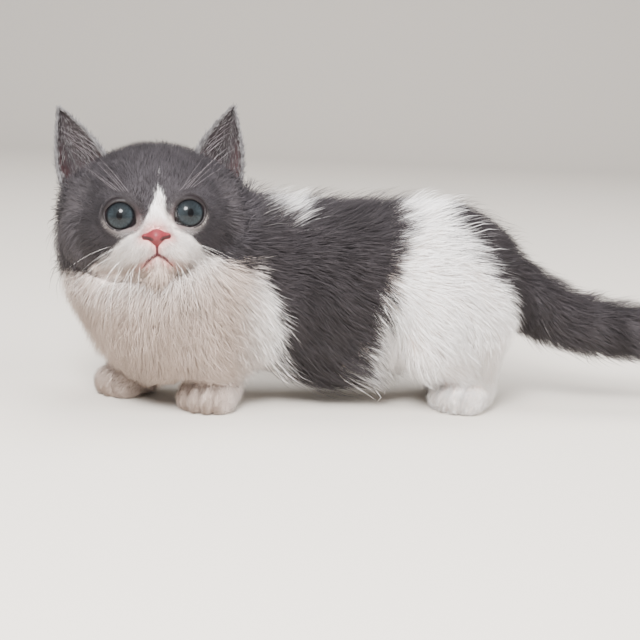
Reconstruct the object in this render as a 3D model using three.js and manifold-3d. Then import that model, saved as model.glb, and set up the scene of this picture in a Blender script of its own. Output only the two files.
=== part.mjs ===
// A munchkin kitten, blue-grey and white, about nine weeks old. It stands on four short legs with
// its head turned to the viewer. Millimetres, +Z up, and the paws stand on the floor at z = 0.
// The viewer looks along +Y: the head is towards -X, the tail towards +X, the left flank towards -Y.

import * as THREE from "three";
import { mergeVertices } from "three/addons/utils/BufferGeometryUtils.js";
import Module from "manifold-3d";

const wasm = await Module();
wasm.setup();

// Driving dimensions
const CORE_SHARE = 0.45; // how far the solid core reaches towards the tips of the coat
const GAP = 0.35; // clearance between pieces that touch
const CLEAR = 0.85; // a piece is grown by this before it cuts its neighbour, so that facets keep their gap
const EYE_R = 8.2; // radius of an eye
const EYE_APART = 29.2; // between the middles of the two eye openings
const EYE_OUT = 8; // degrees that each eye looks out to its side
const LID_R = 7; // radius of the rim that the lids make round an eye
const LID_THICK = 1.5; // half the thickness of a lid
const TRUNK_CELL = 10; // mesh size of the trunk
const TAIL_CELL = 6.2; // mesh size of the tail
const LEG_CELL = 7; // mesh size of the legs
const PAW_CELL = 6; // mesh size of the paws
const TOE_CELL = 3.5; // mesh size of the toes
const HEAD_CELL = 6; // mesh size of the head
const FACE_CELL = 3.1; // mesh size of the muzzle
const NOSE_CELL = 1.8; // mesh size of the nose leather
const WELD = 0.05; // edges shorter than this are closed up by joins and cuts
const SNAP = 0.002; // grid that the finished vertices lie on

// Locks of the coat: long and wide as they lie, and their spacing along and across the lie
const TRUNK_LOCK = { length: 37, width: 21, thick: 2.6, sink: 3.6, along: 26, across: 22 };
const RUFF_LOCK = { length: 16, width: 15, thick: 2.2, sink: 3 };
const TAIL_LOCK = { length: 27, width: 13, thick: 2.2, sink: 2.4, along: 18, around: 4 };
const LOCK_FORM = [[0, 0.45, 1], [0.34, 1, 1], [0.7, 0.74, 0.85]]; // sections: place, width, thickness
const LOCK_RISE = 0.42; // below 1, a lock leaves the core early and then lies along the tips
const OVER_LEG = 6.4; // height at which locks lie over the skin of a leg
const LEG_EDGE = 6; // no root is nearer than this to a leg
const ROOT_EDGE = 5; // no root is nearer than this to the piece in front
const EVEN_BEND = 0.8; // least cosine between the normals of a lock's next sections
const FLOOR_CLEAR = 8; // no lock comes nearer to the floor than this

const RAD = Math.PI / 180;

// Vectors as plain arrays
const add = (a, b, k = 1) => [a[0] + b[0] * k, a[1] + b[1] * k, a[2] + b[2] * k];
const dot = (a, b) => a[0] * b[0] + a[1] * b[1] + a[2] * b[2];
const cross = (a, b) => [a[1] * b[2] - a[2] * b[1], a[2] * b[0] - a[0] * b[2], a[0] * b[1] - a[1] * b[0]];
const size = (a) => Math.hypot(a[0], a[1], a[2]);
const unit = (a) => add([0, 0, 0], a, 1 / Math.max(size(a), 1e-9));
const mix = (a, b, t) => [a[0] + (b[0] - a[0]) * t, a[1] + (b[1] - a[1]) * t, a[2] + (b[2] - a[2]) * t];
const clamp = (v, low, high) => Math.min(high, Math.max(low, v));
const smooth = (low, high, v) => {
  const t = clamp((v - low) / (high - low), 0, 1);
  return t * t * (3 - 2 * t);
};

const LEVEL = [[1, 0, 0], [0, 1, 0], [0, 0, 1]];

/** Forward, left and up axes of a thing that heads yaw degrees round from -X towards -Y. */
function axesOf(yaw, pitch = 0, roll = 0) {
  const [cy, sy] = [Math.cos(yaw * RAD), Math.sin(yaw * RAD)];
  const forward = [-cy * Math.cos(pitch * RAD), -sy * Math.cos(pitch * RAD), Math.sin(pitch * RAD)];
  const side = [sy, -cy, 0];
  const top = cross(forward, side);
  const left = add(add([0, 0, 0], side, Math.cos(roll * RAD)), top, Math.sin(roll * RAD));
  return [forward, left, cross(forward, left)];
}

// Fields. Each is a function of a point: below 0 inside, and about the distance in mm near the surface.

/** An ellipsoid with its radii along forward, left and up. */
function ellipsoid(centre, radii, axes = axesOf(0)) {
  return (p) => {
    const q = add(p, centre, -1);
    const s = axes.map((axis, i) => dot(q, axis) / radii[i]);
    const k0 = size(s);
    const k1 = Math.hypot(s[0] / radii[0], s[1] / radii[1], s[2] / radii[2]);
    return k1 > 1e-9 ? (k0 * (k0 - 1)) / k1 : -Math.min(...radii);
  };
}

/** A tapered limb with round ends, from a with radius ra to b with radius rb. */
function limb(a, b, ra, rb) {
  const along = add(b, a, -1);
  const length = size(along);
  return (p) => {
    const t = clamp(dot(add(p, a, -1), along) / (length * length), 0, 1);
    return size(add(p, add(a, along, t), -1)) - (ra + (rb - ra) * t);
  };
}

/** Fields joined with a fillet about k wide. */
function blend(k, ...fields) {
  return (p) =>
    fields.reduce((d, field) => {
      const e = field(p);
      const h = clamp(0.5 + (0.5 * (d - e)) / k, 0, 1);
      return d + (e - d) * h - k * h * (1 - h);
    }, 1e3);
}

const grown = (field, by) => (p) => field(p) - by;

/** The outward normal of a field at p. */
function normalAt(field, p) {
  const h = 0.4;
  const slope = [0, 1, 2].map((a) => {
    const step = [0, 0, 0];
    step[a] = h;
    return field(add(p, step)) - field(add(p, step, -1));
  });
  return unit(slope);
}

/** Moves p to where the field is level, along the field's slope. */
function settle(field, p, level) {
  let q = p;
  for (let i = 0; i < 3; i++) q = add(q, normalAt(field, q), level - field(q));
  return q;
}

// The skin: the body without its coat

const CHEST_AT = [-66, 1, 48];
const CHEST_AXES = axesOf(52);
const NAPE_AT = [-69, -3, 80];
const TAIL_AT = [80, 25, 57];
const trunkSkin = blend(
  14,
  ellipsoid(CHEST_AT, [26, 25, 27], CHEST_AXES),
  ellipsoid([-35, 11, 55], [34, 27, 30], axesOf(30)),
  ellipsoid([6, 17, 54], [38, 28.5, 30], axesOf(12)),
  ellipsoid([46, 23, 57], [32, 26.5, 27.5], axesOf(9, 8)),
  ellipsoid([-44, -9, 44], [15, 9, 20], axesOf(40, 12)),
  ellipsoid([-80, 18, 44], [14, 9, 20], axesOf(45, 12)),
  ellipsoid([61, 5, 41], [18, 11, 23], axesOf(10, 20)),
  ellipsoid([65, 43, 41], [18, 11, 23], axesOf(5, 20)),
  limb([-58, 3, 62], NAPE_AT, 23, 22),
  limb([64, 25, 59], TAIL_AT, 15, 7.5),
);

/** Depth of the trunk's coat at p: long on the back, the bib and under the belly. */
function trunkDepth(p) {
  const [x, , z] = p;
  const back = 3 * smooth(60, 80, z);
  const fringe = 9.5 * smooth(44, 26, z) * smooth(-45, -15, x) * smooth(52, 24, x);
  const bib = 4 * smooth(-40, -62, x) * smooth(80, 66, z);
  const croup = -2.5 * smooth(62, 84, x);
  const nape = -6 * smooth(-36, -58, x) * smooth(62, 80, z);
  return 8.6 + back + fringe + bib + croup + nape;
}

// The head in its own frame: x forward, y to the left, z up, from the middle of the skull
const HEAD_AT = [-73.2, -9.5, 86.0];
const HEAD_AXES = axesOf(98, 9, 3.8);
const headPoint = (x, y, z) => [x, y, z].reduce((p, v, i) => add(p, HEAD_AXES[i], v), HEAD_AT);
const headWay = (x, y, z) => add(headPoint(x, y, z), HEAD_AT, -1);
const intoHead = (p) => HEAD_AXES.map((axis) => dot(add(p, HEAD_AT, -1), axis));
const skull = blend(
  7,
  ellipsoid([-3, 0, 4.5], [28, 31, 23], LEVEL),
  ellipsoid([2, 0, -8], [22, 34, 16.5], LEVEL),
  ellipsoid([-17, 0, -2], [19, 26, 21], LEVEL),
);
const muzzle = blend(
  5,
  limb([11, 0, 0], [25.5, 0, -9.6], 9.5, 5.4),
  ellipsoid([21.5, 6.4, -14], [8.6, 8.6, 6.6], LEVEL),
  ellipsoid([21.5, -6.4, -14], [8.6, 8.6, 6.6], LEVEL),
  ellipsoid([18.5, 0, -20], [9.2, 8.2, 5.6], LEVEL),
);
const headLocal = blend(5, skull, muzzle);
const headSkin = (p) => headLocal(intoHead(p));

/** Depth of the head's coat, at a point in the head's frame: cheeks long, muzzle short. */
function headDepth([x, y, z]) {
  const cheek = 9 * smooth(17, 34, Math.abs(y)) * smooth(20, 2, x) * smooth(26, 8, z) * smooth(-30, -12, z);
  const nape = 5 * smooth(-6, -24, x);
  const crown = 3 * smooth(8, 24, z);
  return 1.3 + Math.max(cheek, nape) + crown;
}

// Tail: a chain of limbs that starts inside the rump
const TAIL_PATH = [
  [74, 25, 58], TAIL_AT, [97, 25.5, 49.5], [112, 26, 42.5], [128, 26.5, 38.5], [145, 27, 37],
  [160, 28.5, 36], [174, 30, 35.5], [185, 31, 36],
];
const TAIL_R = [8, 7.5, 6.6, 5.8, 5.2, 4.7, 4.2, 3.6, 2.6];
const TAIL_DEPTH = [4, 5.5, 6.4, 6.8, 7.2, 7.6, 7.2, 5.6, 3.6];

/** The tail with extra(i) added to its radius at each point i of its path. */
function tailChain(extra) {
  const radii = TAIL_R.map((r, i) => r + extra(i));
  return blend(4, ...TAIL_PATH.slice(1).map((p, i) => limb(TAIL_PATH[i], p, radii[i], radii[i + 1])));
}

// Legs: each runs from a point inside the trunk down to its paw, which heads its own way
const LEG_COAT = 3.4; // depth of the legs' short coat
const PAW_COAT = 1.1; // depth of the paws' coat
const LEGS = {
  front_left: { top: [-45, -6, 36], paw: [-47.5, -3.5], yaw: 74, r: [12, 10] },
  front_right: { top: [-82, 18, 36], paw: [-87.5, 19], yaw: 40, r: [12, 10] },
  hind_left: { top: [69, 8, 36], paw: [66.5, 13.5], yaw: 56, r: [12.5, 10.5] },
  hind_right: { top: [68, 45, 36], paw: [66.5, 45], yaw: -14, r: [12.5, 10.5] },
};

/** The paw of a leg: a low mitten with four toes, in the paw's own heading. */
function pawSkin({ paw, yaw }) {
  const axes = axesOf(yaw);
  const [f, l] = axes;
  const at = (x, y, z) => add(add([paw[0], paw[1], z], f, x), l, y);
  const toes = [-1.5, -0.5, 0.5, 1.5].map((n) =>
    ellipsoid(at(8 - 1.2 * n * n, n * 5.7, 5.6), [6.4, 3.3, 5.6], axesOf(yaw - n * 7)),
  );
  return blend(0.8, ellipsoid(at(-1.8, 0, 6.4), [11.4, 11, 7], axes), ...toes);
}

/** A leg above its paw. */
function legSkin({ top, paw, yaw, r }) {
  const [f] = axesOf(yaw);
  return limb(top, add([paw[0], paw[1], 11], f, -4), r[0], r[1]);
}

// Meshing

/** Grid lines from the first stop to the last. Each stop is [place, spacing from there on]. */
function ticksOf(...stops) {
  const ticks = [];
  stops.slice(1).forEach(([end], i) => {
    const [start, spacing] = stops[i];
    const count = Math.max(1, Math.round((end - start) / spacing));
    for (let n = 0; n < count; n++) ticks.push(start + ((end - start) * n) / count);
  });
  return [...ticks, stops.at(-1)[0]];
}

/** An even grid between two corners. */
const evenGrid = (low, high, cell) => ({
  origin: [0, 0, 0],
  axes: LEVEL,
  ticks: [0, 1, 2].map((a) => ticksOf([low[a], cell], [high[a]])),
});

const CORNERS = [0, 1, 2, 3, 4, 5, 6, 7].map((c) => [c & 1, (c >> 1) & 1, c >> 2]);
const EDGES = CORNERS.flatMap((a, ia) =>
  CORNERS.map((b, ib) => [ia, ib, Math.abs(a[0] - b[0]) + Math.abs(a[1] - b[1]) + Math.abs(a[2] - b[2])]),
).filter(([ia, ib, apart]) => ib > ia && apart === 1);

/** A closed mesh of a field's zero level on a grid, with one point in each cell that the level crosses. */
function meshOf(field, { origin, axes, ticks }) {
  const n = ticks.map((line) => line.length);
  const index = (i, j, k) => i + n[0] * (j + n[1] * k);
  const world = (q) => q.reduce((p, v, a) => add(p, axes[a], v), origin);
  const value = new Float64Array(n[0] * n[1] * n[2]);
  for (let k = 0; k < n[2]; k++)
    for (let j = 0; j < n[1]; j++)
      for (let i = 0; i < n[0]; i++) {
        value[index(i, j, k)] = field(world([ticks[0][i], ticks[1][j], ticks[2][k]]));
      }
  const pointOf = new Map();
  const points = [];
  for (let k = 0; k < n[2] - 1; k++)
    for (let j = 0; j < n[1] - 1; j++)
      for (let i = 0; i < n[0] - 1; i++) {
        const v = CORNERS.map((c) => value[index(i + c[0], j + c[1], k + c[2])]);
        const crossed = EDGES.filter(([a, b]) => v[a] < 0 !== v[b] < 0);
        if (!crossed.length) continue;
        const meets = crossed.map(([a, b]) => mix(CORNERS[a], CORNERS[b], v[a] / (v[a] - v[b])));
        const sum = meets.reduce((total, point) => add(total, point));
        const low = [ticks[0][i], ticks[1][j], ticks[2][k]];
        const wide = [ticks[0][i + 1] - low[0], ticks[1][j + 1] - low[1], ticks[2][k + 1] - low[2]];
        const middle = world(low.map((l, a) => l + (wide[a] * sum[a]) / crossed.length));
        const nearer = settle(field, middle, 0);
        pointOf.set(index(i, j, k), points.length);
        points.push(size(add(nearer, middle, -1)) < Math.min(...wide) * 0.5 ? nearer : middle);
      }
  const faces = [];
  const quad = (a, b, c, d) => {
    const [pa, pb, pc, pd] = [a, b, c, d].map((x) => points[x]);
    if (size(add(pa, pc, -1)) < size(add(pb, pd, -1))) faces.push(a, b, c, a, c, d);
    else faces.push(a, b, d, b, c, d);
  };
  for (let k = 0; k < n[2]; k++)
    for (let j = 0; j < n[1]; j++)
      for (let i = 0; i < n[0]; i++)
        for (const a of [0, 1, 2]) {
          const next = [i, j, k];
          next[a]++;
          if (next[a] >= n[a]) continue;
          const inside = value[index(i, j, k)] < 0;
          if (inside === value[index(...next)] < 0) continue;
          const ring = [[0, 0], [-1, 0], [-1, -1], [0, -1]].map(([db, dc]) => {
            const cell = [i, j, k];
            cell[(a + 1) % 3] += db;
            cell[(a + 2) % 3] += dc;
            return pointOf.get(index(...cell));
          });
          quad(...(inside ? ring : ring.reverse()));
        }
  const geometry = new THREE.BufferGeometry();
  geometry.setAttribute("position", new THREE.Float32BufferAttribute(points.flat(), 3));
  geometry.setIndex(faces);
  return geometry;
}

/** A geometry as a solid for joins and cuts. */
function solidOf(geometry) {
  const plain = geometry.clone();
  for (const name of Object.keys(plain.attributes)) if (name !== "position") plain.deleteAttribute(name);
  const merged = mergeVertices(plain, 1e-4);
  const mesh = new wasm.Mesh({
    numProp: 3,
    vertProperties: merged.attributes.position.array,
    triVerts: new Uint32Array(merged.index.array),
    tolerance: WELD,
  });
  const solid = new wasm.Manifold(mesh);
  if (solid.volume() > 0) return solid;
  mesh.triVerts.reverse();
  return new wasm.Manifold(mesh);
}

/** The solid of a field on a grid that holds it with room to spare. */
const fieldSolid = (field, grid) => solidOf(meshOf(field, grid));

/** A closed tube through points, with its own radius at each. */
function tubeSolid(points, radii, sides = 6) {
  const ring = [];
  const last = points.length - 1;
  points.forEach((p, i) => {
    const way = unit(add(points[Math.min(i + 1, last)], points[Math.max(i - 1, 0)], -1));
    const across = unit(cross(way, [0.12, 0.2, 1]));
    const up = cross(across, way);
    for (let s = 0; s < sides; s++) {
      const turn = (2 * Math.PI * s) / sides;
      ring.push(add(add(p, across, radii[i] * Math.cos(turn)), up, radii[i] * Math.sin(turn)));
    }
  });
  const faces = [];
  for (let i = 0; i < last; i++)
    for (let s = 0; s < sides; s++) {
      const [a, b] = [i * sides + s, i * sides + ((s + 1) % sides)];
      faces.push(a, b, b + sides, a, b + sides, a + sides);
    }
  for (let s = 1; s < sides - 1; s++) {
    faces.push(0, s + 1, s, last * sides, last * sides + s, last * sides + s + 1);
  }
  const geometry = new THREE.BufferGeometry();
  geometry.setAttribute("position", new THREE.Float32BufferAttribute(ring.flat(), 3));
  geometry.setIndex(faces);
  return solidOf(geometry);
}

/** The largest closed body of a solid. */
function largest(solid) {
  const bodies = solid.decompose();
  return bodies.reduce((best, body) => (body.volume() > best.volume() ? body : best));
}

/** A geometry from a solid. */
function geometryOf(solid) {
  const mesh = solid.getMesh();
  const positions = new Float32Array(mesh.numVert * 3);
  for (let i = 0; i < mesh.numVert; i++) {
    positions.set(mesh.vertProperties.subarray(i * mesh.numProp, i * mesh.numProp + 3), i * 3);
  }
  const geometry = new THREE.BufferGeometry();
  geometry.setAttribute("position", new THREE.BufferAttribute(positions, 3));
  geometry.setIndex(new THREE.BufferAttribute(mesh.triVerts, 1));
  return geometry;
}

/** The geometry with each vertex on a fine grid, so that vertices are either one or clearly apart. */
function snapped(geometry) {
  const array = geometry.attributes.position.array;
  for (let i = 0; i < array.length; i++) array[i] = Math.round(array[i] / SNAP) * SNAP;
  return geometry;
}

/** The largest body of a solid as a clean mesh, moved by shift. */
function finished(solid, shift) {
  let geometry = snapped(geometryOf(largest(solid)).translate(...shift));
  for (let round = 0; round < 3; round++) geometry = snapped(geometryOf(largest(solidOf(geometry))));
  geometry.computeVertexNormals();
  return geometry;
}

/** The solid on one side of a plane: keeps what lies past the point along the normal. */
function beyond(solid, point, normal, gap = GAP / 2) {
  const n = unit(normal);
  return solid.trimByPlane(n, dot(n, point) + gap);
}

// Ears, in the head's frame: a cup between an inner edge near the crown, an outer edge at the side and a tip
const EAR = {
  inner: [1, 19, 22],
  outer: [-7, 36, 8],
  back: [-17, 30, 14],
  tip: { left: [-9, 37, 46], right: [-9, 38.5, 48] },
  bulge: 2.8,
  thick: 1.9,
  round: 0.85, // below 1, the sides swell out towards the tip
  across: 8,
  up: 6,
};

/** A point of an ear's sheet: u runs from the inner edge at -1 to the outer at 1, v from root to tip. */
function earPoint(side, u, v, out) {
  const middle = mix(EAR.inner, EAR.outer, 0.5);
  const base = add(mix(EAR.inner, EAR.outer, (u + 1) / 2), add(EAR.back, middle, -1), 1 - u * u);
  const heart = mix(middle, EAR.back, 0.5);
  const swell = EAR.bulge * Math.sin(Math.PI * Math.min(1, v * 1.05)) * u * (1 - 0.4 * v);
  const axis = mix(heart, side > 0 ? EAR.tip.left : EAR.tip.right, v);
  const p = add(axis, add(base, heart, -1), Math.pow(1 - v, EAR.round));
  const wall = out * EAR.thick * (1 - 0.55 * v);
  const back = wall * (0.5 + 0.5 * (1 - u * u));
  return headPoint(p[0] - back, side * (p[1] + swell + wall * u * 0.4), p[2] - swell * 0.3 * u);
}

/** An ear as a closed shell with a skin inside and outside the cup. */
function earSolid(side) {
  const points = [];
  const faces = [];
  const columns = EAR.across + 1;
  const rows = EAR.up;
  for (const out of [0, 1])
    for (let j = 0; j < rows; j++)
      for (let i = 0; i < columns; i++) {
        points.push(earPoint(side, (2 * i) / EAR.across - 1, j / EAR.up, out));
      }
  const tip = points.length;
  points.push(earPoint(side, 0, 1, 0.5));
  const at = (sheet, i, j) => (sheet * rows + j) * columns + i;
  const quad = (a, b, c, d) => faces.push(a, b, c, a, c, d);
  for (let j = 0; j < rows - 1; j++) {
    for (let i = 0; i < EAR.across; i++) {
      quad(at(0, i, j), at(0, i + 1, j), at(0, i + 1, j + 1), at(0, i, j + 1));
      quad(at(1, i, j), at(1, i, j + 1), at(1, i + 1, j + 1), at(1, i + 1, j));
    }
    quad(at(0, 0, j), at(0, 0, j + 1), at(1, 0, j + 1), at(1, 0, j));
    quad(at(0, EAR.across, j), at(1, EAR.across, j), at(1, EAR.across, j + 1), at(0, EAR.across, j + 1));
  }
  const last = rows - 1;
  for (let i = 0; i < EAR.across; i++) {
    quad(at(0, i, 0), at(1, i, 0), at(1, i + 1, 0), at(0, i + 1, 0));
    faces.push(at(0, i, last), at(0, i + 1, last), tip, at(1, i + 1, last), at(1, i, last), tip);
  }
  faces.push(at(1, 0, last), at(0, 0, last), tip, at(0, EAR.across, last), at(1, EAR.across, last), tip);
  const turned = side > 0 ? faces : [...faces].reverse();
  const geometry = new THREE.BufferGeometry();
  geometry.setAttribute("position", new THREE.Float32BufferAttribute(points.flat(), 3));
  geometry.setIndex(turned);
  return solidOf(geometry);
}

// Coat

/** A repeatable stream of draws between -1 and 1. */
function drawsFrom(seed) {
  let state = seed;
  return () => {
    state = (Math.imul(state, 1664525) + 1013904223) >>> 0;
    return state / 2147483648 - 1;
  };
}
const draw = drawsFrom(31);

const LIMB_COATS = Object.values(LEGS).flatMap((leg) => [
  grown(pawSkin(leg), PAW_COAT),
  grown(legSkin(leg), LEG_COAT),
]);

/** How far p is outside the nearest leg or paw. */
const inLegs = (p) => Math.min(...LIMB_COATS.map((field) => field(p)));

/** The point where a ray from inside meets the field's level. */
function outFrom(field, centre, way) {
  let t = 0;
  for (let i = 0; i < 24; i++) t -= field(add(centre, way, t));
  return add(centre, way, t);
}

/** Where a lock lies: its place, its way and the normal at each section and at the tip. */
function courseOf(coat, root, { length, thick, sink }) {
  const core = coat.depth(root) * CORE_SHARE;
  let p = root;
  let at = 0;
  return [...LOCK_FORM.map(([share]) => share), 1].map((share) => {
    const way = tangent(coat, p);
    p = add(p, way, (share - at) * length);
    at = share;
    const rise = Math.pow(share, LOCK_RISE);
    const height = (core - sink) * (1 - rise) + (coat.depth(p) - thick * 0.3) * rise;
    p = settle(coat.skin, p, height);
    p[2] = Math.max(p[2], FLOOR_CLEAR);
    return { p, way, n: normalAt(coat.skin, p) };
  });
}

/** Whether a lock lies in an even bend, with no twist where a leg meets the trunk. */
const isEven = (course) => course.every(({ n }, i) => !i || dot(n, course[i - 1].n) > EVEN_BEND);

/**
 * One flat, tapered lock, with a flat underside and a low ridge along its back. It starts sunk in the
 * core, follows the lie over the skin and rises to the tips of the coat. The extra makes it thicker
 * all round, for cutting its neighbours clear.
 */
function lockSolid({ course, width, thick }, extra = 0) {
  const rings = [];
  LOCK_FORM.forEach(([, wide, deep], i) => {
    const { p, way, n } = course[i];
    const side = unit(cross(n, way));
    const w = (width / 2) * wide + extra * 2;
    const [under, ridge] = [-1, 1].map((face) => add(p, n, (face * thick * deep) / 2));
    rings.push(add(under, side, -w), add(ridge, n, extra * 1.5), add(under, side, w));
    if (extra) rings.push(add(under, n, -extra * 2));
  });
  rings.push(add(course.at(-1).p, course.at(-1).way, extra * 2));
  const around = extra ? 4 : 3;
  const faces = extra ? [0, 1, 2, 0, 2, 3] : [0, 1, 2];
  for (let r = 0; r < LOCK_FORM.length - 1; r++)
    for (let c = 0; c < around; c++) {
      const [a, b] = [r * around + c, r * around + ((c + 1) % around)];
      faces.push(a, b + around, b, a, a + around, b + around);
    }
  const [last, tip] = [(LOCK_FORM.length - 1) * around, rings.length - 1];
  for (let c = 0; c < around; c++) faces.push(last + c, tip, last + ((c + 1) % around));
  const geometry = new THREE.BufferGeometry();
  geometry.setAttribute("position", new THREE.Float32BufferAttribute(rings.flat(), 3));
  geometry.setIndex(faces);
  return solidOf(geometry);
}

/** The coat's lie at p, level with the skin. */
function tangent(coat, p) {
  const n = normalAt(coat.skin, p);
  const lie = coat.lie(p, n);
  return unit(add(lie, n, -dot(lie, n)));
}

/** Adds a lock of about the kind's size to a node's list, unless it would twist. */
function addLock(list, coat, root, kind) {
  const length = kind.length * (1 + 0.14 * draw());
  const width = kind.width * (1 + 0.14 * draw());
  const course = courseOf(coat, root, { ...kind, length });
  if (isEven(course)) list.push({ course, width, thick: kind.thick });
}

const curveOf = (points) => new THREE.CatmullRomCurve3(points.map((p) => new THREE.Vector3(...p)));
const SPINE = curveOf([[-80, -16, 49], [-66, 1, 50], [-35, 11, 56], [6, 17, 56], [50, 23, 58], [76, 25, 58]]);

/** The trunk's coat: back along the body, down the flanks, down the bib and hanging under the belly. */
const trunkHair = {
  skin: blend(6, trunkSkin, ...Object.values(LEGS).map(legSkin)),
  depth: (p) => Math.min(trunkDepth(p), OVER_LEG + 0.5 * Math.max(0, inLegs(p))),
  lie: (p, n) => {
    const bib = smooth(-34, -62, p[0]);
    const under = smooth(-0.2, -0.8, n[2]);
    const flank = 1 - Math.abs(n[2]);
    const along = [1 - 0.85 * bib, 0.28 - 0.1 * bib, 0];
    return add(along, [0, 0, -1], 0.5 * flank + 0.4 * under + 0.9 * bib * (1 - 0.5 * under));
  },
};

/** The head's coat: out from the nose over the cheeks to the ruff. */
const headHair = {
  skin: headSkin,
  depth: (p) => headDepth(intoHead(p)),
  lie: (p) => add(unit(add(p, headPoint(30, 0, -4), -1)), [0, 0, -1], 0.35),
};

/** The tail's coat: towards its tip. */
function nearestOnTail(p) {
  let best = { gap: 1e9 };
  for (let i = 0; i < TAIL_PATH.length - 1; i++) {
    const along = add(TAIL_PATH[i + 1], TAIL_PATH[i], -1);
    const t = clamp(dot(add(p, TAIL_PATH[i], -1), along) / dot(along, along), 0, 1);
    const gap = size(add(p, add(TAIL_PATH[i], along, t), -1));
    if (gap < best.gap) best = { gap, i, t, along: unit(along) };
  }
  return best;
}
const tailHair = {
  skin: tailChain(() => 0),
  depth: (p) => {
    const { i, t } = nearestOnTail(p);
    return TAIL_DEPTH[i] + (TAIL_DEPTH[i + 1] - TAIL_DEPTH[i]) * t;
  },
  lie: (p) => add(nearestOnTail(p).along, [0, 0, -1], 0.12),
};

// Assembly

const ball = (centre, r) => solidOf(new THREE.SphereGeometry(r, 12, 8).translate(...centre));

const parts = {};
const PAW_TOP = 13; // height of the joint between paw and leg
const LEG_TOP = 31; // height at which a leg ends inside the trunk
const legCuts = [];
for (const [name, leg] of Object.entries(LEGS)) {
  const foot = [leg.paw[0], leg.paw[1], 0];
  const grid = (cell, toe, top) => ({
    origin: foot,
    axes: axesOf(leg.yaw),
    ticks: [
      ticksOf([-42, cell * 2], [-18, cell], [2, toe], [22, cell * 2], [42]),
      ticksOf([-42, cell * 2], [-20, cell], [-13, toe], [13, cell], [20, cell * 2], [42]),
      ticksOf([-9, 9], [0, toe], [top, cell * 1.4], [64]),
    ],
  });
  leg.pawField = grown(blend(5, pawSkin(leg), grown(legSkin(leg), 1)), PAW_COAT);
  leg.field = grown(legSkin(leg), LEG_COAT);
  const cut = [...leg.paw, PAW_TOP];
  const paw = beyond(fieldSolid(leg.pawField, grid(PAW_CELL, TOE_CELL, PAW_TOP)), [0, 0, 0], [0, 0, 1], 0);
  parts["paw_" + name] = beyond(paw, cut, [0, 0, -1]);
  const top = [...leg.paw, LEG_TOP];
  const whole = fieldSolid(leg.field, grid(LEG_CELL, LEG_CELL, 0));
  parts["leg_" + name] = beyond(beyond(whole, cut, [0, 0, 1]), top, [0, 0, -1]);
  const pawGrown = fieldSolid(grown(leg.pawField, CLEAR), grid(PAW_CELL, TOE_CELL, PAW_TOP));
  const legGrown = fieldSolid(grown(leg.field, CLEAR), grid(LEG_CELL, LEG_CELL, 0));
  legCuts.push(beyond(pawGrown, cut, [0, 0, -1], -CLEAR));
  legCuts.push(beyond(beyond(legGrown, cut, [0, 0, 1], 0), top, [0, 0, -1], -GAP / 2));
}

const TRUNK_GRID = evenGrid([-125, -60, -10], [115, 85, 115], TRUNK_CELL);
const trunkCore = (extra) => (p) => trunkSkin(p) - trunkDepth(p) * CORE_SHARE - extra;
const trunk = legCuts.reduce((solid, leg) => solid.subtract(leg), fieldSolid(trunkCore(0), TRUNK_GRID));
const trunkGrown = fieldSolid(trunkCore(CLEAR), TRUNK_GRID);

const HEAD_GRID = {
  origin: HEAD_AT,
  axes: HEAD_AXES,
  ticks: [
    ticksOf([-52, HEAD_CELL * 1.25], [2, HEAD_CELL], [14, FACE_CELL], [38, HEAD_CELL], [44]),
    ticksOf([-54, HEAD_CELL], [-12, FACE_CELL], [12, HEAD_CELL], [54]),
    ticksOf([-46, HEAD_CELL], [-25, FACE_CELL], [-4, HEAD_CELL * 0.75], [10, HEAD_CELL], [50]),
  ],
};

/** The head's core: the whole short coat of the face, and part of the long coat of the cheeks. */
function headCore(extra) {
  return (p) => {
    const depth = headDepth(intoHead(p));
    return headSkin(p) - Math.min(depth, 2.2 + 0.22 * depth) - extra;
  };
}
let head = fieldSolid(headCore(0), HEAD_GRID);
const HEAD_CUT_GRID = { ...HEAD_GRID, ticks: LEVEL.map(() => ticksOf([-52, HEAD_CELL], [52])) };
const coarseHead = fieldSolid(headCore(CLEAR * 2), HEAD_CUT_GRID);
const fineHead = fieldSolid(headCore(CLEAR), HEAD_GRID);

const SHOULDER_CUT = { point: [-62, -4, 64], normal: [0.42, 0.3, -0.86] };
const RIB_CUT = { point: [-30, 11, 55], normal: [0.93, 0.36, 0] };
const LOIN_CUT = { point: [30, 20, 55], normal: [0.98, 0.17, 0] };
const flip = ({ point, normal }) => [point, normal.map((v) => -v)];
const past = ({ point, normal }, p) => dot(add(p, point, -1), unit(normal));

/** Places of the trunk's locks: rings round the spine, then rings over the breast. */
function* trunkRoots() {
  const { along, across } = TRUNK_LOCK;
  const rows = Math.round(SPINE.getLength() / along);
  for (let row = -2; row <= rows; row++) {
    const t = clamp(row / rows, 0, 1);
    const centre = SPINE.getPointAt(t).toArray();
    const axis = SPINE.getTangentAt(t).toArray();
    const side = unit(cross([0, 0, 1], axis));
    const lean = row < 0 ? -row * 32 * RAD : 0;
    const count = Math.round((2 * Math.PI * 36 * Math.cos(lean)) / across);
    for (let n = 0; n < count; n++) {
      const turn = (2 * Math.PI * (n + (row & 1 ? 0.5 : 0) + 0.12 * draw())) / count;
      const radial = add([0, 0, Math.cos(turn)], side, Math.sin(turn));
      const way = unit(add(add([0, 0, 0], radial, Math.cos(lean)), axis, -Math.sin(lean)));
      yield outFrom(trunkCore(0), centre, way);
    }
  }
}

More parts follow.
